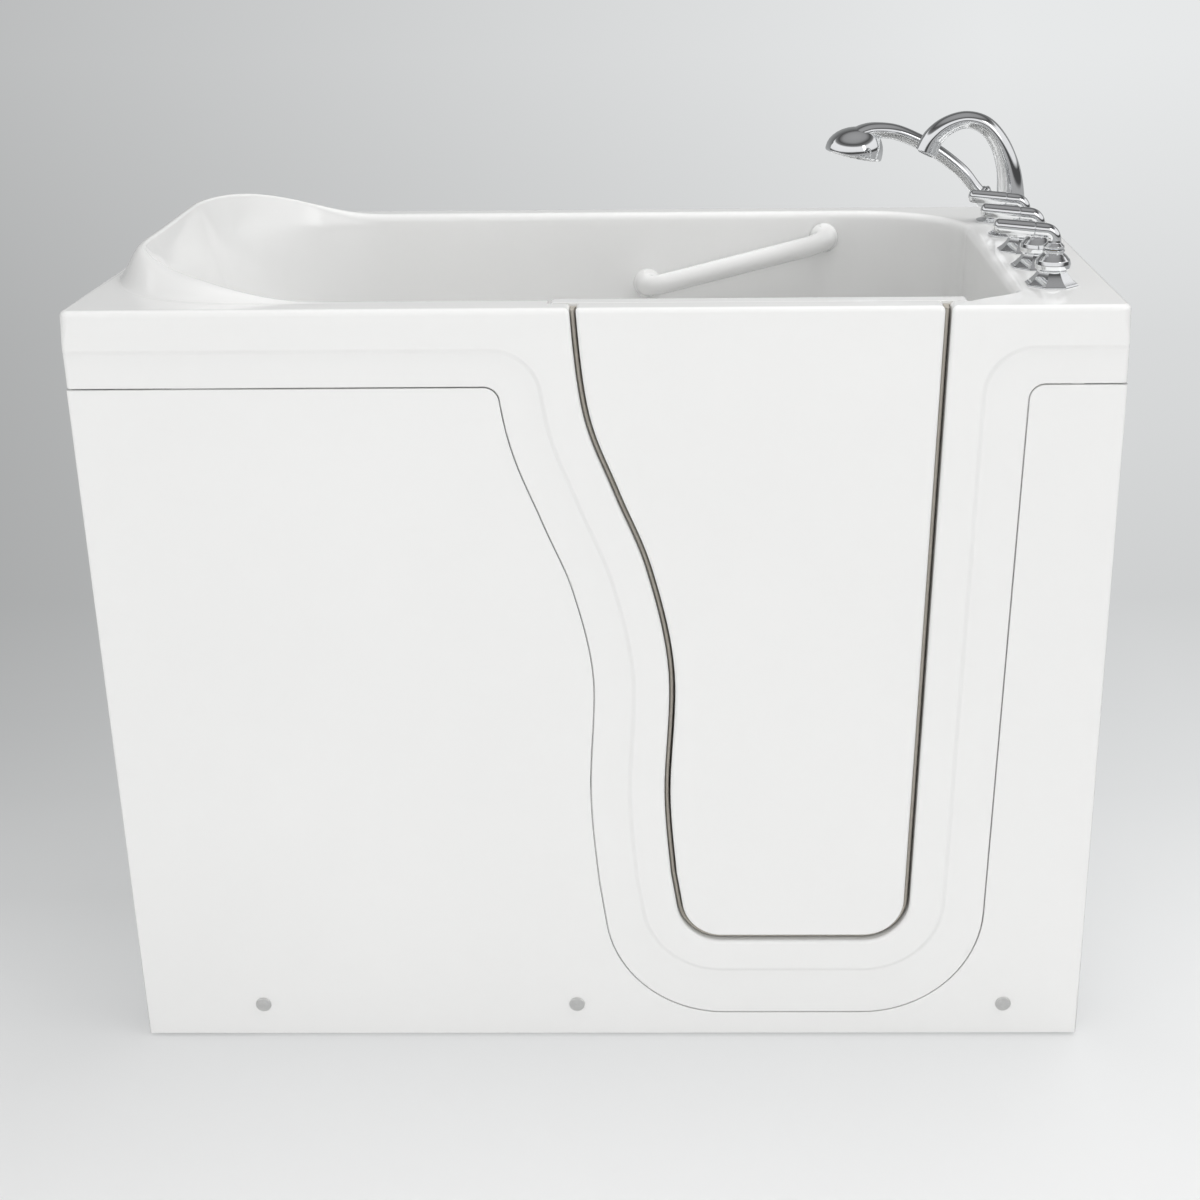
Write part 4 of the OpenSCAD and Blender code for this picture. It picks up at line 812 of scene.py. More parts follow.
def addFaceted(sheet, corners, place, sides):
    # a many-sided skirt: each side has its own flat normals
    for k in range(sides):
        a, b = (2 * math.pi * (k + s) / sides for s in (-0.5, 0.5))
        rows = []
        for r, h in corners:
            ends = [place @ Vector((r * math.cos(q), r * math.sin(q), h)) for q in (a, b)]
            rows.append([tuple(ends[0].lerp(ends[1], t)) for t in (0, 0.5, 1)])
        middle = (a + b) / 2
        side = place.to_3x3() @ Vector((math.cos(middle), math.sin(middle), 0.4))
        addGrid(sheet, rows, tuple(side), group=k + 2)


# copies of small items, set by Geometry Nodes on the places that the CAD gives
def copiesTree():
    tree = bpy.data.node_groups.new("copiesOnPlaces", "GeometryNodeTree")
    face = tree.interface
    face.new_socket("Places", in_out="INPUT", socket_type="NodeSocketGeometry")
    face.new_socket("Item", in_out="INPUT", socket_type="NodeSocketObject")
    face.new_socket("Size", in_out="INPUT", socket_type="NodeSocketFloat").default_value = 1
    face.new_socket("Largest turn", in_out="INPUT", socket_type="NodeSocketFloat").default_value = 0
    face.new_socket("Seed", in_out="INPUT", socket_type="NodeSocketInt").default_value = 7
    face.new_socket("Finish", in_out="INPUT", socket_type="NodeSocketMaterial")
    face.new_socket("Copies", in_out="OUTPUT", socket_type="NodeSocketGeometry")
    make, link = tree.nodes.new, tree.links.new
    given, result = make("NodeGroupInput"), make("NodeGroupOutput")
    facing = make("GeometryNodeInputNamedAttribute")
    facing.data_type = "FLOAT_VECTOR"
    facing.inputs["Name"].default_value = "facing"
    align = make("FunctionNodeAlignRotationToVector")
    align.axis = "Z"
    link(facing.outputs["Attribute"], align.inputs["Vector"])
    item = make("GeometryNodeObjectInfo")
    link(given.outputs["Item"], item.inputs["Object"])
    spread = make("GeometryNodeInstanceOnPoints")
    link(given.outputs["Places"], spread.inputs["Points"])
    link(item.outputs["Geometry"], spread.inputs["Instance"])
    link(align.outputs["Rotation"], spread.inputs["Rotation"])
    link(given.outputs["Size"], spread.inputs["Scale"])
    chance = make("FunctionNodeRandomValue")
    link(given.outputs["Largest turn"], chance.inputs[3])  # the largest of the float values
    link(given.outputs["Seed"], chance.inputs["Seed"])
    turnBy = make("ShaderNodeCombineXYZ")
    link(chance.outputs[1], turnBy.inputs["Z"])
    spin = make("GeometryNodeRotateInstances")
    link(spread.outputs["Instances"], spin.inputs["Instances"])
    link(turnBy.outputs["Vector"], spin.inputs["Rotation"])
    real = make("GeometryNodeRealizeInstances")
    link(spin.outputs["Instances"], real.inputs["Geometry"])
    paint = make("GeometryNodeSetMaterial")
    link(real.outputs["Geometry"], paint.inputs["Geometry"])
    link(given.outputs["Finish"], paint.inputs["Material"])
    link(paint.outputs["Geometry"], result.inputs["Copies"])
    return tree


def makeCopies(name, item, places, finish, turn=0.0, seed=7):
    # places are (point, facing) in millimetres; the copies come back as one plain mesh
    mesh = bpy.data.meshes.new(name + "Places")
    mesh.from_pydata([tuple(Vector(p) * mm) for p, n in places], [], [])
    facing = mesh.attributes.new("facing", "FLOAT_VECTOR", "POINT")
    for slot, (p, n) in zip(facing.data, places):
        slot.vector = tuple(unit(n))
    holder = addToScene(name + "Places", mesh)
    tree = bpy.data.node_groups.get("copiesOnPlaces") or copiesTree()
    modifier = holder.modifiers.new("copies", "NODES")
    modifier.node_group = tree
    given = {"Item": item, "Size": 1.0, "Largest turn": turn, "Seed": seed, "Finish": finish}
    for socket in tree.interface.items_tree:
        if socket.name in given:
            modifier[socket.identifier] = given[socket.name]
    plain = plainMesh(holder)
    plain.name = name
    holder.modifiers.remove(modifier)
    bpy.data.objects.remove(holder)
    bpy.data.objects.remove(item)
    if not plain.materials:
        plain.materials.append(finish)
    return addToScene(name, plain)


def makeItem(name, lathes):
    # a small item about +Z: each lathe is (outline of (radius, height), sides, corner radius)
    bm = bmesh.new()
    for corners, sides, radius in lathes:
        rings = []
        for r, h in roundProfile(corners, radius, 2):
            rings.append([bm.verts.new((r * mm * math.cos(a), r * mm * math.sin(a), h * mm))
                          for a in roundAngles(sides)])
        for low, high in zip(rings, rings[1:]):
            for k in range(sides):
                bm.faces.new((low[k], low[(k + 1) % sides], high[(k + 1) % sides], high[k]))
        bm.faces.new(rings[0][::-1])
        bm.faces.new(rings[-1])
    bmesh.ops.remove_doubles(bm, verts=bm.verts, dist=1e-6)
    bmesh.ops.recalc_face_normals(bm, faces=bm.faces)
    return addToScene(name, shadeBySharpness(meshFrom(bm, name), 30))


def solidBoxes(node):
    # the box of each separate solid of a CAD node, in millimetres
    bm = mergedCad(node)
    seen, boxes = set(), []
    for start in bm.verts:
        if start.index in seen:
            continue
        seen.add(start.index)
        todo, found = [start], []
        while todo:
            vert = todo.pop()
            found.append(tuple(vert.co / mm))
            for edge in vert.link_edges:
                other = edge.other_vert(vert)
                if other.index not in seen:
                    seen.add(other.index)
                    todo.append(other)
        pts = np.array(found)
        boxes.append((pts.min(0), pts.max(0)))
    bm.free()
    return boxes


def middles(node, side):
    # places on one side of each solid: side is the facing, along an axis
    axis = int(np.argmax(np.abs(side)))
    places = []
    for lo, hi in solidBoxes(node):
        point = (lo + hi) / 2
        point[axis] = lo[axis] if side[axis] > 0 else hi[axis]
        places.append((point, side))
    return places


# every other CAD node: its own mesh with fine rounded edges
def polish(node, finish, width=0.5):
    # a CAD node with its flat faces made whole and a small bevel on its sharp edges
    bm = mergedCad(node)
    bmesh.ops.dissolve_limit(bm, angle_limit=math.radians(0.7), verts=bm.verts, edges=bm.edges)
    holder = addToScene(node + "Edges", meshFrom(bm, node + "Edges"))
    bevel = holder.modifiers.new("edges", "BEVEL")
    bevel.width = width * mm
    bevel.segments = 2
    bevel.limit_method = "ANGLE"
    bevel.angle_limit = math.radians(40)
    fine = shadeBySharpness(plainMesh(holder), 28)
    bpy.data.objects.remove(holder)
    fine.name = node + "Fine"
    fine.materials.clear()
    fine.materials.append(finish)
    return addToScene(node + "Fine", fine)


# taps, spout and hand shower, in millimetres
deck = {"x": 592, "rim": 1067, "first": -250, "pitch": 122}  # hot, cold, diverter, spout, hand shower
bell = {
    "skirt": [(35.2, 0), (35.2, 1.8), (33, 3), (28.6, 6.2), (24.8, 10), (21.4, 14.2), (19.2, 18)],
    "body": [(16, 15), (18.8, 17.4), (19.2, 19), (22.6, 21.6), (23.4, 27), (22.2, 32.5), (17.4, 38),
             (13.8, 41), (13.4, 42), (14.6, 42.8), (14.6, 45), (13.6, 46), (9, 46)],
}
lever = {
    "collar": [(7, 46.4), (12, 46.4), (13.8, 47.8), (13.8, 50.2), (11.8, 52.2), (9.4, 54.4), (8.8, 58)],
    "base": 54, "neck": (8.8, 9.6),
    "turn": 13, "elbowTop": 70, "rise": 6,  # bend radius, height of the elbow and the grip's slope in degrees
    "joint": [(0, 0), (8.9, 0), (8.9, 0.9)],  # the fine groove between the elbow and the grip
    "bar": (9.9, 9.2), "jointAt": 26, "length": 79, "tipRound": 6,
}


def tapRow(i):
    return deck["first"] + i * deck["pitch"]


def makeTaps(chrome):
    sheet = newSheet()
    for i in range(3):
        place = Matrix.Translation((deck["x"], tapRow(i), deck["rim"]))
        addFaceted(sheet, bell["skirt"], place, 8)
        addTurned(sheet, bell["body"], place, 0.7, 48)
    placePiece(finishSheet(sheet, "tapBells", chrome), "tub", "chrome", "tap_bells")
    for i, name in enumerate(("hot", "cold", "diverter")):
        makeLever(name, i, chrome)
    print("taps done")


def makeLever(name, i, chrome):
    v, y = lever, tapRow(i)
    sheet = newSheet()
    addTurned(sheet, v["collar"], Matrix.Translation((deck["x"], y, deck["rim"])), 0.6, 48)
    low, top, r = deck["rim"] + v["base"], deck["rim"] + v["elbowTop"], v["turn"]
    lean = math.radians(v["rise"])
    path = [np.array([deck["x"], y, mix(low, top - r, k / 3)]) for k in range(3)]
    for k in range(13):
        a = mix(0, math.pi / 2 - lean, k / 12)
        path.append(np.array([deck["x"] - r + r * math.cos(a), y, top - r + r * math.sin(a)]))
    ahead = np.array([-math.cos(lean), 0, math.sin(lean)])
    joint = path[-1] + ahead * (deck["x"] - v["jointAt"] - path[-1][0]) / ahead[0]
    path += [mix(path[-1], joint, k / 3) for k in (1, 2, 3)]
    sizes = [(mix(*v["neck"], k / len(path)),) * 2 for k in range(len(path))]
    addTube(sheet, path, sizes, (0, 1, 0), 40)
    tip = joint + ahead * (v["length"] - v["jointAt"]) / math.cos(lean)
    run = np.linalg.norm(tip - joint)
    (wide, thin), tipRound = v["bar"], v["tipRound"]
    grip = v["joint"] + [(wide, 1.6), (wide, 4)]
    grip += [(mix(wide, thin, k / 4), mix(4, run - tipRound, k / 4)) for k in range(1, 5)]
    grip += [(thin * math.cos(a), run - tipRound + tipRound * math.sin(a)) for a in quarter(8)[1:]]
    addTurned(sheet, grip, axisPlace(joint, tip), 0.4, 40)
    placePiece(finishSheet(sheet, name + "Handle", chrome), name + "_tap", "chrome", name + "_lever")


spout = {
    "ring": [(0, 0), (29.4, 0), (30, 0.8), (30, 2.6), (28.6, 3.6), (26.4, 4.4), (25.2, 6), (22, 6.4)],
    # the goose neck: (x, z, half thickness, half width)
    "neck": [(0, 6, 23, 21.5), (0, 40, 21.5, 20), (-2, 74, 19, 18.5), (-8, 104, 16.5, 17), (-22, 136, 14, 16),
             (-43, 159, 13, 15.5), (-70, 167, 12.3, 15.5), (-97, 159, 13.5, 15.5), (-117, 142, 15, 16),
             (-127, 121, 16.3, 16.5)],
    "lip": ((0.2, 0.25), (0.45, 0.9), (0.5, 1.9)),  # the rounded end: (farther on, narrower by)
    "wall": 1.2, "bore": 11.5, "boreDepth": (0.8, 7), "steps": 56,
}


def alongLine(line, x, y, z, steps):
    # middle line and half sizes from rows of (x, z, half thickness, half width)
    rows = spline(line, steps)
    return [np.array([x + p[0], y, z + p[1]]) for p in rows], [(p[2], p[3]) for p in rows]


def makeSpout(chrome):
    v, y = spout, tapRow(3)
    sheet = newSheet()
    addTurned(sheet, v["ring"], Matrix.Translation((deck["x"], y, deck["rim"])), 0.5, v["steps"])
    placePiece(finishSheet(sheet, "spoutRing", chrome), "tub", "chrome", "spout_flange")
    sheet = newSheet()
    path, sizes = alongLine(v["neck"], deck["x"], y, deck["rim"], 9)
    ahead, across = frameAlong(path, len(path) - 1), np.array([0, 1, 0])
    for further, narrower in v["lip"]:
        path.append(path[-1] + ahead * further)
        sizes.append((sizes[-1][0] - narrower, sizes[-1][1] - narrower))
    rows = addTube(sheet, path, sizes, across, v["steps"], (True, False))
    thick, wide = sizes[-1]
    inner = [(thick - v["wall"], wide - v["wall"], 0)]
    inner += [(v["bore"], v["bore"], deep) for deep in v["boreDepth"]]
    mouthRows = [rows[-1]]
    up = unit(np.cross(across, ahead))
    for thick, wide, deep in inner:
        mouthRows.append([path[-1] - ahead * deep + up * thick * math.cos(a) + across * wide * math.sin(a)
                          for a in roundAngles(v["steps"])])
    addGrid(sheet, mouthRows, ahead, closed=True, group=2)
    addFlat(sheet, mouthRows[-1], ahead, group=3)
    placePiece(finishSheet(sheet, "spoutBody", chrome), "tub", "chrome", "spout")
    print("spout done")


shower = {
    "x": 575, "z": 1098, "lean": 42,
    # the handle that widens into the head: (x, z, half thickness, half width)
    "handle": [(0, 0, 9.6, 9.6), (-10, 11, 9.9, 9.9), (-22, 24, 10.1, 10.1), (-40, 45, 10.4, 10.4),
               (-75, 72, 10.7, 10.8), (-107, 90, 11, 11.7), (-142, 104, 11.4, 13.6), (-172, 107.5, 11.6, 17),
               (-192, 105.5, 11, 22), (-210, 98, 9.6, 26), (-226, 86, 7.5, 27)],
    "cup": [(0, -15), (9, -15), (12.6, -13.6), (13.4, -9), (14.2, 0), (15.8, 9), (17, 12), (17, 15),
            (15.6, 16.2), (13.8, 16), (13.4, 13), (9.9, -8), (0, -8)],
    "base": [(0, 0), (31.4, 0), (32, 0.7), (32, 2.4), (30.6, 3.2), (24, 4.4), (18, 7), (14.6, 10.5), (13, 14),
             (12.6, 17)],
    "ball": 14.4, "ballAt": (-4, 20),
    "plug": [(0, -7), (9, -7), (9.7, -6), (12.3, 13.6), (12.9, 16.6), (12.9, 18.4), (12, 19.6), (10.2, 20.4)],
}
head = {
    "x": 368, "z": 1169, "turn": 12,
    # (height, radius, shift) of each ring
    "dome": [(0, 43, 0), (1.2, 43.6, 0), (4, 43.8, 0), (10, 43.4, 0.2), (16, 42, 0.8), (22, 39.2, 1.8),
             (28, 35, 3), (33, 30, 4.4), (37.4, 23.6, 6), (40.4, 17, 7.4), (42.6, 9.5, 8.8), (43.4, 3, 9.6),
             (43.5, 0.02, 9.8)],
    "face": [(0, 43, 0), (-0.3, 42, 0), (0, 40.6, 0), (1.6, 39.6, 0), (2.2, 39.4, 0)],
    "plate": [(39.2, 2.6), (39.2, 0.9), (38.2, 0.3), (30, 0.1), (12, 0), (0, 0)],
    "nozzle": [(2.3, 0), (2.1, 0.8), (1.3, 2.2), (0.7, 2.3), (0.6, 1.4)],
    "nozzleRings": ((11, 6), (21.5, 12), (32, 18)), "nozzleUp": 0.6,
}


def headPoint(across, y, up):
    a = math.radians(head["turn"])
    return np.array([head["x"] + across * math.cos(a) + up * math.sin(a), tapRow(4) + y,
                     head["z"] - across * math.sin(a) + up * math.cos(a)])


def headRows(rings, steps):
    return [[headPoint(shift + r * math.cos(a), r * math.sin(a), h) for a in roundAngles(steps)]
            for h, r, shift in rings]


def makeShower(chrome, plastic, rubber):
    v, y = shower, tapRow(4)
    lean = math.radians(v["lean"])
    out = np.array([-math.sin(lean), 0, math.cos(lean)])
    middle = np.array([v["x"], y, v["z"]])
    leaning = axisPlace(middle, middle + out)
    sheet = newSheet()
    addTurned(sheet, v["base"], Matrix.Translation((deck["x"], y, deck["rim"])), 0.5, 56)
    dx, dz = v["ballAt"]
    ball = arcPoints((0, 0), v["ball"], -80, 90, 18)
    addTurned(sheet, ball, Matrix.Translation((deck["x"] + dx, y, deck["rim"] + dz)), 0.3, 48)
    addTurned(sheet, v["cup"], leaning, 0.6, 48)
    placePiece(finishSheet(sheet, "showerRest", chrome), "tub", "chrome", "shower_holder")
    sheet = newSheet()
    addTurned(sheet, v["plug"], leaning, 0.5, 48)
    path, sizes = alongLine(v["handle"], v["x"], y, v["z"], 7)
    addTube(sheet, path, sizes, (0, 1, 0), 48)
    left, down = (headPoint(*way) - headPoint(0, 0, 0) for way in ((-1, 0, 0), (0, 0, -1)))
    addGrid(sheet, headRows(head["dome"], 72), left, closed=True, group=4)
    addGrid(sheet, headRows(head["face"], 72), down, closed=True, group=5)
    placePiece(finishSheet(sheet, "showerBody", chrome), "shower", "chrome", "hand_shower")
    sheet = newSheet()
    rings = [(h, r, 0) for r, h in head["plate"]]
    addGrid(sheet, headRows(rings, 60), down, closed=True)
    placePiece(finishSheet(sheet, "sprayFace", plastic), "shower", "grey_plastic", "spray_plate")
    places = [(headPoint(r * math.cos(a), r * math.sin(a), head["nozzleUp"]), down)
              for r, count in head["nozzleRings"] for a in roundAngles(count)]
    item = makeItem("nozzle", [(head["nozzle"], 14, 0.15)])
    placePiece(makeCopies("sprayNozzles", item, places, rubber, 0, 3), "shower", "black_rubber")
    print("hand shower done")


# grab bar
bar = {
    "length": 292, "off": 42, "radius": 15.6, "tilt": 14, "x": 190, "z": 991,
    # each end: (farther out, distance from the wall plane, thickness share)
    "end": [(0, 44, 1.5), (0, 41, 1.46), (-0.4, 35, 1.33), (-1.2, 27, 1.17), (-3.6, 19.5, 1.07),
            (-8.6, 12, 1.01), (-15.6, 5.6, 1), (-24, 1.8, 1), (-32, 0.3, 1)],
}


def makeGrabBar(gelcoat):
    b = bar
    tilt = math.radians(b["tilt"])
    along = np.array([math.cos(tilt), 0, math.sin(tilt)])
    wall = tub["well"][2] - tub["backDraft"] * (tub["rim"] - b["z"])
    middle = np.array([b["x"], wall - b["off"], b["z"]])
    reach = b["length"] / 2
    half = [(reach + p[0], p[1], p[2]) for p in spline(b["end"], 4)]
    line = half + [(mix(half[-1][0], -half[-1][0], k / 14), half[-1][1], 1) for k in range(1, 14)]
    line += [(-p[0], p[1], p[2]) for p in half[::-1]]
    path = [middle + along * u + np.array([0, min(v, b["off"] + 0.8), 0]) for u, v, s in line]
    sizes = [(b["radius"] * s, b["radius"] * s) for u, v, s in line]
    sheet = newSheet()
    addTube(sheet, path, sizes, np.cross(along, (0, 1, 0)), 48)
    placePiece(finishSheet(sheet, "grabBar", gelcoat), "tub", "gelcoat", "grab_bar")
    print("grab bar done")


# screws, bolts, nuts and feet, as copies on the CAD's own places
# outlines as (radius, height), each with its number of sides and its rounding
fasteners = {
    "cap": [([(11, 0), (11, 1.9), (9.6, 2.9), (0, 2.98)], 48, 0.35)],
    "pad": [([(24, 0), (25, 1), (25, 4.2), (23.6, 5.2), (21, 6), (11, 9.4), (8.6, 10)], 40, 0.5)],
    "bolt": [([(8.6, 0), (8.6, 1.2), (7.6, 1.3)], 32, 0.2),
             ([(7.2, 1.2), (7.2, 5), (6.2, 5.6), (0, 5.6)], 6, 0.4)],
    "nut": [([(6.1, 0), (10.2, 0), (11.1, 0.9), (11.1, 7.1), (10.2, 8), (6.1, 8)], 6, 0.3)],
    "thread": {"crest": 5.95, "root": 5.35, "pitch": 1.5, "turns": 44, "end": 5},
    "anyTurn": 1.05,  # a six-sided head stands at a random angle up to this, in radians
}


def studOutline():
    # the threaded rod's outline, as long as the CAD's own
    t = fasteners["thread"]
    lo, hi = solidBoxes("foot_studs")[0]
    length = hi[2] - lo[2]
    outline = [(t["crest"], 0)]
    for k in range(t["turns"]):
        low = t["pitch"] * k
        outline += [(t["crest"], 0.3 + low), (t["root"], 0.8 + low), (t["crest"], 1.3 + low)]
    return [p for p in outline if p[1] < length - 1] + [(t["end"], length)]


def makeFasteners(finishes):
    up = np.array([0, 0, 1])
    outlines = {**fasteners, "stud": [(studOutline(), 20, 0.05)]}
    onFace = [((p[0], tub["face"], p[2]), n) for p, n in middles("screw_caps", np.array([0, -1, 0]))]
    for name, item, places, finish, slotName, node, turn, seed in (
            ("screwCaps", "cap", onFace, "satinChrome", "chrome", "screw_caps", 0.0, 7),
            ("feet", "pad", None, "blackRubber", "black_rubber", "foot_pads", 0.0, 7),
            ("frameBolts", "bolt", None, "zinc", "zinc", "frame_bolts", fasteners["anyTurn"], 5),
            ("footNuts", "nut", None, "zinc", "zinc", "foot_nuts", fasteners["anyTurn"], 11),
            ("footStuds", "stud", None, "zinc", "zinc", "foot_studs", 0.0, 7)):
        model = makeItem(item, outlines[item])
        copies = makeCopies(name, model, places or middles(node, up), finishes[finish], turn, seed)
        placePiece(copies, "tub", slotName, node)
    print("fasteners done")


def makeRest(finishes):
    # every CAD node that no piece above replaces keeps its own mesh, with its slot's first finish
    finishOf = {"gelcoat": "gelcoat", "chrome": "chrome"}
    for name, look in plainFinishes.items():
        finishOf.setdefault(look[0], name)
    for part in frame["record"]["subparts"]:
        node = part["node"]
        if node not in dressed:
            slotName = part["material_slot"]
            piece = polish(node, finishes[finishOf[slotName]])
            placePiece(piece, frame["nodes"][node]["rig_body"], slotName, node)
    print("other nodes done")


# finishes
def newFinish(name, colour, roughness, metallic=0, coat=0):
    finish = bpy.data.materials.new(name)
    finish.use_nodes = True
    shader = finish.node_tree.nodes["Principled BSDF"]
    shader.inputs["Base Color"].default_value = (*colour, 1)
    shader.inputs["Roughness"].default_value = roughness
    shader.inputs["Metallic"].default_value = metallic
    shader.inputs["Coat Weight"].default_value = coat
    shader.inputs["Coat Roughness"].default_value = 0.03
    return finish, finish.node_tree, shader


def objectNoise(tree, scale, detail):
    place = tree.nodes.new("ShaderNodeTexCoord")
    noise = tree.nodes.new("ShaderNodeTexNoise")
    noise.inputs["Scale"].default_value = scale
    noise.inputs["Detail"].default_value = detail
    tree.links.new(place.outputs["Object"], noise.inputs["Vector"])
    return noise.outputs["Fac"]


def vary(tree, factor, low, high):
    # a number or a colour that drifts between two values with a noise
    ramp = tree.nodes.new("ShaderNodeValToRGB")
    for element, position, value in zip(ramp.color_ramp.elements, (0.3, 0.7), (low, high)):
        element.position = position
        element.color = (*value, 1) if isinstance(value, tuple) else (value, value, value, 1)
    tree.links.new(factor, ramp.inputs["Fac"])
    return ramp.outputs["Color"]


def addBump(tree, shader, factor, strength, distance):
    bump = tree.nodes.new("ShaderNodeBump")
    bump.inputs["Strength"].default_value = strength
    bump.inputs["Distance"].default_value = distance
    tree.links.new(factor, bump.inputs["Height"])
    tree.links.new(bump.outputs["Normal"], shader.inputs["Normal"])


gelcoatLook = {
    "white": (0.866, 0.864, 0.858),
    "drift": ((0.857, 0.858, 0.852), (0.873, 0.874, 0.868)), "driftScale": 2.2,
    "roughness": (0.13, 0.19), "coat": 0.35,
    "ripple": (14, 0.03, 0.0006),  # scale, strength and depth
}
chromeLook = {"tone": (0.86, 0.87, 0.88), "roughness": (0.045, 0.07), "scale": 12}
# (material slot, darkest tone, lightest tone, roughness, metallic, scale of the grain, bump)
plainFinishes = {
    "satinChrome": ("chrome", (0.7, 0.7, 0.69), (0.78, 0.78, 0.77), 0.34, 0.6, 160, 0.05),
    "framePaint": ("frame_paint", (0.16, 0.17, 0.18), (0.2, 0.21, 0.22), 0.45, 0, 90, 0.15),
    "zinc": ("zinc", (0.55, 0.55, 0.53), (0.68, 0.68, 0.66), 0.38, 1, 120, 0.1),
    "blackRubber": ("black_rubber", (0.018, 0.018, 0.02), (0.035, 0.035, 0.036), 0.62, 0, 200, 0.2),
    "seal": ("seal", (0.4, 0.375, 0.33), (0.46, 0.43, 0.38), 0.6, 0, 150, 0.15),
    "foam": ("foam", (0.62, 0.52, 0.3), (0.74, 0.64, 0.4), 0.9, 0, 160, 0.5),
    "brass": ("brass", (0.62, 0.44, 0.16), (0.72, 0.53, 0.22), 0.32, 1, 90, 0.1),
    "copper": ("copper", (0.66, 0.33, 0.19), (0.76, 0.42, 0.26), 0.3, 1, 60, 0.08),
    "pvc": ("pvc", (0.74, 0.74, 0.72), (0.8, 0.8, 0.78), 0.38, 0, 50, 0.08),
    "abs": ("abs", (0.03, 0.03, 0.032), (0.05, 0.05, 0.052), 0.42, 0, 120, 0.12),
    "greyPlastic": ("grey_plastic", (0.3, 0.31, 0.32), (0.38, 0.39, 0.4), 0.4, 0, 120, 0.1),
}
grainDepth = 0.0008


def makeGelcoat():
    # glossy cool white, with the faint drift of a sprayed mould
    g = gelcoatLook
    finish, tree, shader = newFinish("gelcoat", g["white"], sum(g["roughness"]) / 2, 0, g["coat"])
    broad = objectNoise(tree, g["driftScale"], 2)
    tree.links.new(vary(tree, broad, *g["drift"]), shader.inputs["Base Color"])
    tree.links.new(vary(tree, objectNoise(tree, 9, 3), *g["roughness"]), shader.inputs["Roughness"])
    scale, strength, depth = g["ripple"]
    addBump(tree, shader, objectNoise(tree, scale, 1), strength, depth)
    return finish


def makeChrome():
    c = chromeLook
    finish, tree, shader = newFinish("chrome", c["tone"], c["roughness"][0], 1)
    tree.links.new(vary(tree, objectNoise(tree, c["scale"], 1), *c["roughness"]), shader.inputs["Roughness"])
    return finish


def makePlain(name, low, high, roughness, metallic, scale, bump):
    finish, tree, shader = newFinish(name, low, roughness, metallic)
    grain = objectNoise(tree, scale, 5)
    tree.links.new(vary(tree, grain, low, high), shader.inputs["Base Color"])
    tree.links.new(vary(tree, grain, roughness * 0.85, min(1, roughness * 1.15)), shader.inputs["Roughness"])
    addBump(tree, shader, grain, bump, grainDepth)
    return finish


def makeFinishes():
    finishes = {"gelcoat": makeGelcoat(), "chrome": makeChrome()}
    for name, (slotName, *look) in plainFinishes.items():
        finishes[name] = makePlain(name, *look)
    print("finishes:", len(finishes))
    return finishes


# studio: camera, floor, backdrop, lamps
view = {
    "place": (0.13625, -2.69732, 1.56254), "pitch": 21.495, "yaw": 0.907, "roll": -0.565,
    "focalPixels": 1879.4, "centre": (675.61, 619.85), "imageSize": 1200, "sensor": 36, "farthest": 60,
}


def makeCamera():
    s = view
    pitch, yaw, roll = (math.radians(s[k]) for k in ("pitch", "yaw", "roll"))
    ahead = Vector((-math.sin(yaw) * math.cos(pitch), math.cos(yaw) * math.cos(pitch), -math.sin(pitch)))
    level = Vector((math.cos(yaw), math.sin(yaw), 0))
    upright = level.cross(ahead)
    right = math.cos(roll) * level + math.sin(roll) * upright
    up = -math.sin(roll) * level + math.cos(roll) * upright
    data = bpy.data.cameras.new("camera")
    data.sensor_width = s["sensor"]
    data.lens = s["sensor"] * s["focalPixels"] / s["imageSize"]
    data.shift_x = (s["imageSize"] / 2 - s["centre"][0]) / s["imageSize"]
    data.shift_y = (s["centre"][1] - s["imageSize"] / 2) / s["imageSize"]
    data.clip_end = s["farthest"]
    camera = addToScene("camera", data)
    basis = Matrix((right, up, -ahead)).transposed()
    camera.matrix_world = Matrix.Translation(s["place"]) @ basis.to_4x4()
    bpy.context.scene.camera = camera


# the floor that sweeps up into the backdrop, in metres; its tones are (way back and up, grey level as seen),
# painted light: they paint the studio light's fall over the paper, darker to the left and darkest on the floor
# just behind the tub
paper = {
    "front": -7.0, "depth": 4.0, "bend": 1.6, "height": 5.5, "halfWidth": 7, "below": 0.0002,
    "left": [(-0.55, 212), (-0.26, 201), (0.03, 168), (0.4, 159), (1.4, 156), (3.4, 171), (4.9, 186)],
    "right": [(-0.55, 238), (-0.26, 238), (0.03, 231), (0.4, 222), (1.4, 207), (3.4, 217), (4.9, 232)],
    # painted reflection: the glowing tones that polished surfaces see on the paper
    "mirror": [(-7, 190), (-1, 172), (1, 165), (3, 185), (6, 150), (9.5, 90)],
    "across": (-2.4, 1.1),  # x over which the left tones pass into the right ones
    "glow": (-1.6, 0.8),  # metres back over which the lit floor passes into the painted tones of light and shade
}


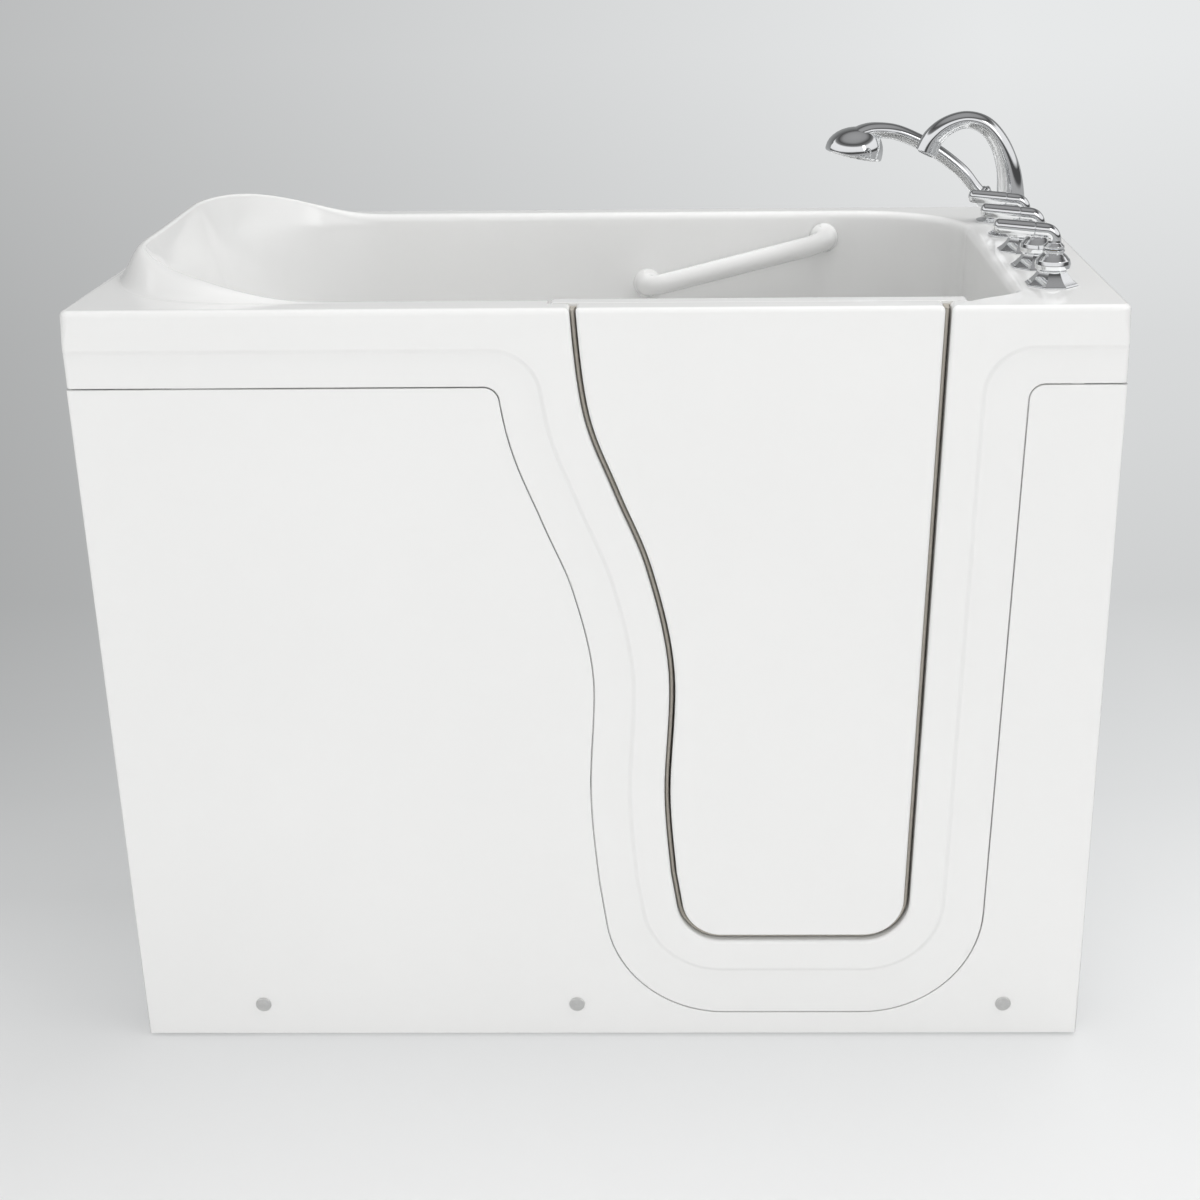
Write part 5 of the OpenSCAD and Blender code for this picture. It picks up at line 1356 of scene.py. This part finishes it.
def makeStage():
    p = paper
    depth, bend, side = p["depth"], p["bend"], p["halfWidth"]
    profile = [(p["front"], 0), (depth - bend, 0)]
    profile += [(depth - bend + bend * math.sin(a), bend - bend * math.cos(a)) for a in quarter(14)[1:]]
    profile += [(depth, p["height"])]
    verts = [(x, y, z - p["below"]) for y, z in profile for x in (-side, side)]
    faces = [(2 * i, 2 * i + 1, 2 * i + 3, 2 * i + 2) for i in range(len(profile) - 1)]
    mesh = bpy.data.meshes.new("studioFloor")
    mesh.from_pydata(verts, [], faces)
    mesh.shade_smooth()
    floor = addToScene("studioFloor", mesh)
    finish, tree, shader = newFinish("studioPaper", (0.86, 0.86, 0.86), 0.9)
    nodes, links = tree.nodes, tree.links
    shader.inputs["Specular IOR Level"].default_value = 0
    place = nodes.new("ShaderNodeTexCoord")
    split = nodes.new("ShaderNodeSeparateXYZ")
    links.new(place.outputs["Object"], split.inputs["Vector"])
    run = nodes.new("ShaderNodeMath")
    links.new(split.outputs["Y"], run.inputs[0])
    links.new(split.outputs["Z"], run.inputs[1])

    def ranged(value, low, high, kind="SMOOTHSTEP"):
        span = nodes.new("ShaderNodeMapRange")
        span.interpolation_type = kind
        span.inputs["From Min"].default_value = low
        span.inputs["From Max"].default_value = high
        links.new(value, span.inputs["Value"])
        return span.outputs["Result"]

    def toneRamp(stops):
        ramp = nodes.new("ShaderNodeValToRGB")
        links.new(ranged(run.outputs[0], stops[0][0], stops[-1][0], "LINEAR"), ramp.inputs["Fac"])
        colours = ramp.color_ramp.elements
        while len(colours) < len(stops):
            colours.new(0.5)
        for element, (back, grey) in zip(colours, stops):
            element.position = (back - stops[0][0]) / (stops[-1][0] - stops[0][0])
            level = (grey / 255) ** 2.2
            element.color = (level * 0.985, level, level * 1.005, 1)
        return ramp.outputs["Color"]

    # painted light: for camera rays the floor and backdrop glow with fixed tones in place of the studio light's
    # fall, darker to the left and darkest just behind the tub
    blend = nodes.new("ShaderNodeMix")
    blend.data_type = "RGBA"
    links.new(ranged(split.outputs["X"], *p["across"], "LINEAR"), blend.inputs["Factor"])
    links.new(toneRamp(p["left"]), blend.inputs[6])
    links.new(toneRamp(p["right"]), blend.inputs[7])
    glow = nodes.new("ShaderNodeEmission")
    links.new(blend.outputs[2], glow.inputs["Color"])
    rays = nodes.new("ShaderNodeLightPath")
    share = nodes.new("ShaderNodeMath")
    share.operation = "MULTIPLY"
    links.new(ranged(run.outputs[0], *p["glow"]), share.inputs[0])
    links.new(rays.outputs["Is Camera Ray"], share.inputs[1])
    both = nodes.new("ShaderNodeMixShader")
    links.new(share.outputs[0], both.inputs["Fac"])
    links.new(shader.outputs["BSDF"], both.inputs[1])
    links.new(glow.outputs["Emission"], both.inputs[2])
    # painted reflection: polish sees the paper as fixed glowing tones along its run, in place of the lit floor
    mirror = nodes.new("ShaderNodeEmission")
    links.new(toneRamp(p["mirror"]), mirror.inputs["Color"])
    seen = nodes.new("ShaderNodeMixShader")
    links.new(rays.outputs["Is Glossy Ray"], seen.inputs["Fac"])
    links.new(both.outputs["Shader"], seen.inputs[1])
    links.new(mirror.outputs["Emission"], seen.inputs[2])
    links.new(seen.outputs["Shader"], nodes["Material Output"].inputs["Surface"])
    mesh.materials.append(finish)


air = {
    "colour": (0.92, 0.92, 0.915), "strength": 0.57,
    # what polished metal sees from below to above: a dark room with bright panels
    "bands": [(0, 0.45), (0.5, 0.4), (0.52, 0.07), (0.57, 0.07), (0.6, 0.85), (0.78, 0.9), (0.82, 0.2),
              (0.88, 0.08), (0.94, 0.3), (1, 0.35)],
}
# (place, aim, size, watts, whether polish mirrors it)
lamps = {
    "frontSoftbox": ((0.2, -4.6, 1.35), (0, 0, 0.3), (4.2, 2.6), 57, False),
    "leftSoftbox": ((-3.4, -3.2, 0.95), (0, 0, 0.4), (1.8, 1.6), 13, False),
    "rightSoftbox": ((2.6, -2.4, 2.9), (0, 0, 0.8), (0.7, 1.6), 6, True),
    "overheadSoftbox": ((1.0, 0.1, 4.2), (0.2, 0, 0.8), (3.2, 2.4), 84, False),
}


def makeLamp(name, place, target, size, power, mirrored):
    data = bpy.data.lights.new(name, "AREA")
    data.shape = "RECTANGLE"
    data.size, data.size_y = size
    data.energy = power
    lamp = addToScene(name, data)
    lamp.location = place
    lamp.visible_glossy = mirrored
    lamp.rotation_euler = (Vector(target) - Vector(place)).to_track_quat("-Z", "Y").to_euler()


def makeLight():
    world = bpy.data.worlds.new("studioAir")
    bpy.context.scene.world = world
    world.use_nodes = True
    nodes, links = world.node_tree.nodes, world.node_tree.links
    even = nodes["Background"]
    even.inputs["Color"].default_value = (*air["colour"], 1)
    even.inputs["Strength"].default_value = air["strength"]
    room = nodes.new("ShaderNodeBackground")
    place = nodes.new("ShaderNodeTexCoord")
    split = nodes.new("ShaderNodeSeparateXYZ")
    links.new(place.outputs["Generated"], split.inputs["Vector"])
    lift = nodes.new("ShaderNodeMapRange")
    lift.inputs["From Min"].default_value = -1
    links.new(split.outputs["Z"], lift.inputs["Value"])
    bands = nodes.new("ShaderNodeValToRGB")
    links.new(lift.outputs["Result"], bands.inputs["Fac"])
    while len(bands.color_ramp.elements) < len(air["bands"]):
        bands.color_ramp.elements.new(0.5)
    for element, (position, level) in zip(bands.color_ramp.elements, air["bands"]):
        element.position = position
        element.color = (level, level, level * 1.01, 1)
    links.new(bands.outputs["Color"], room.inputs["Color"])
    rays = nodes.new("ShaderNodeLightPath")
    both = nodes.new("ShaderNodeMixShader")
    links.new(rays.outputs["Is Glossy Ray"], both.inputs["Fac"])
    links.new(even.outputs["Background"], both.inputs[1])
    links.new(room.outputs["Background"], both.inputs[2])
    links.new(both.outputs["Shader"], nodes["World Output"].inputs["Surface"])
    for name, setting in lamps.items():
        makeLamp(name, *setting)
    bpy.context.scene.view_settings.view_transform = "Standard"
    print("camera, floor and", len(lamps), "lamps done")


makeCamera()
makeStage()
makeLight()
finishes = makeFinishes()
makeShell(finishes["gelcoat"])
makePanel(finishes["gelcoat"])
makeDoor(finishes["gelcoat"], finishes["seal"])
makeTaps(finishes["chrome"])
makeSpout(finishes["chrome"])
makeShower(finishes["chrome"], finishes["greyPlastic"], finishes["blackRubber"])
makeGrabBar(finishes["gelcoat"])
makeFasteners(finishes)
makeRest(finishes)
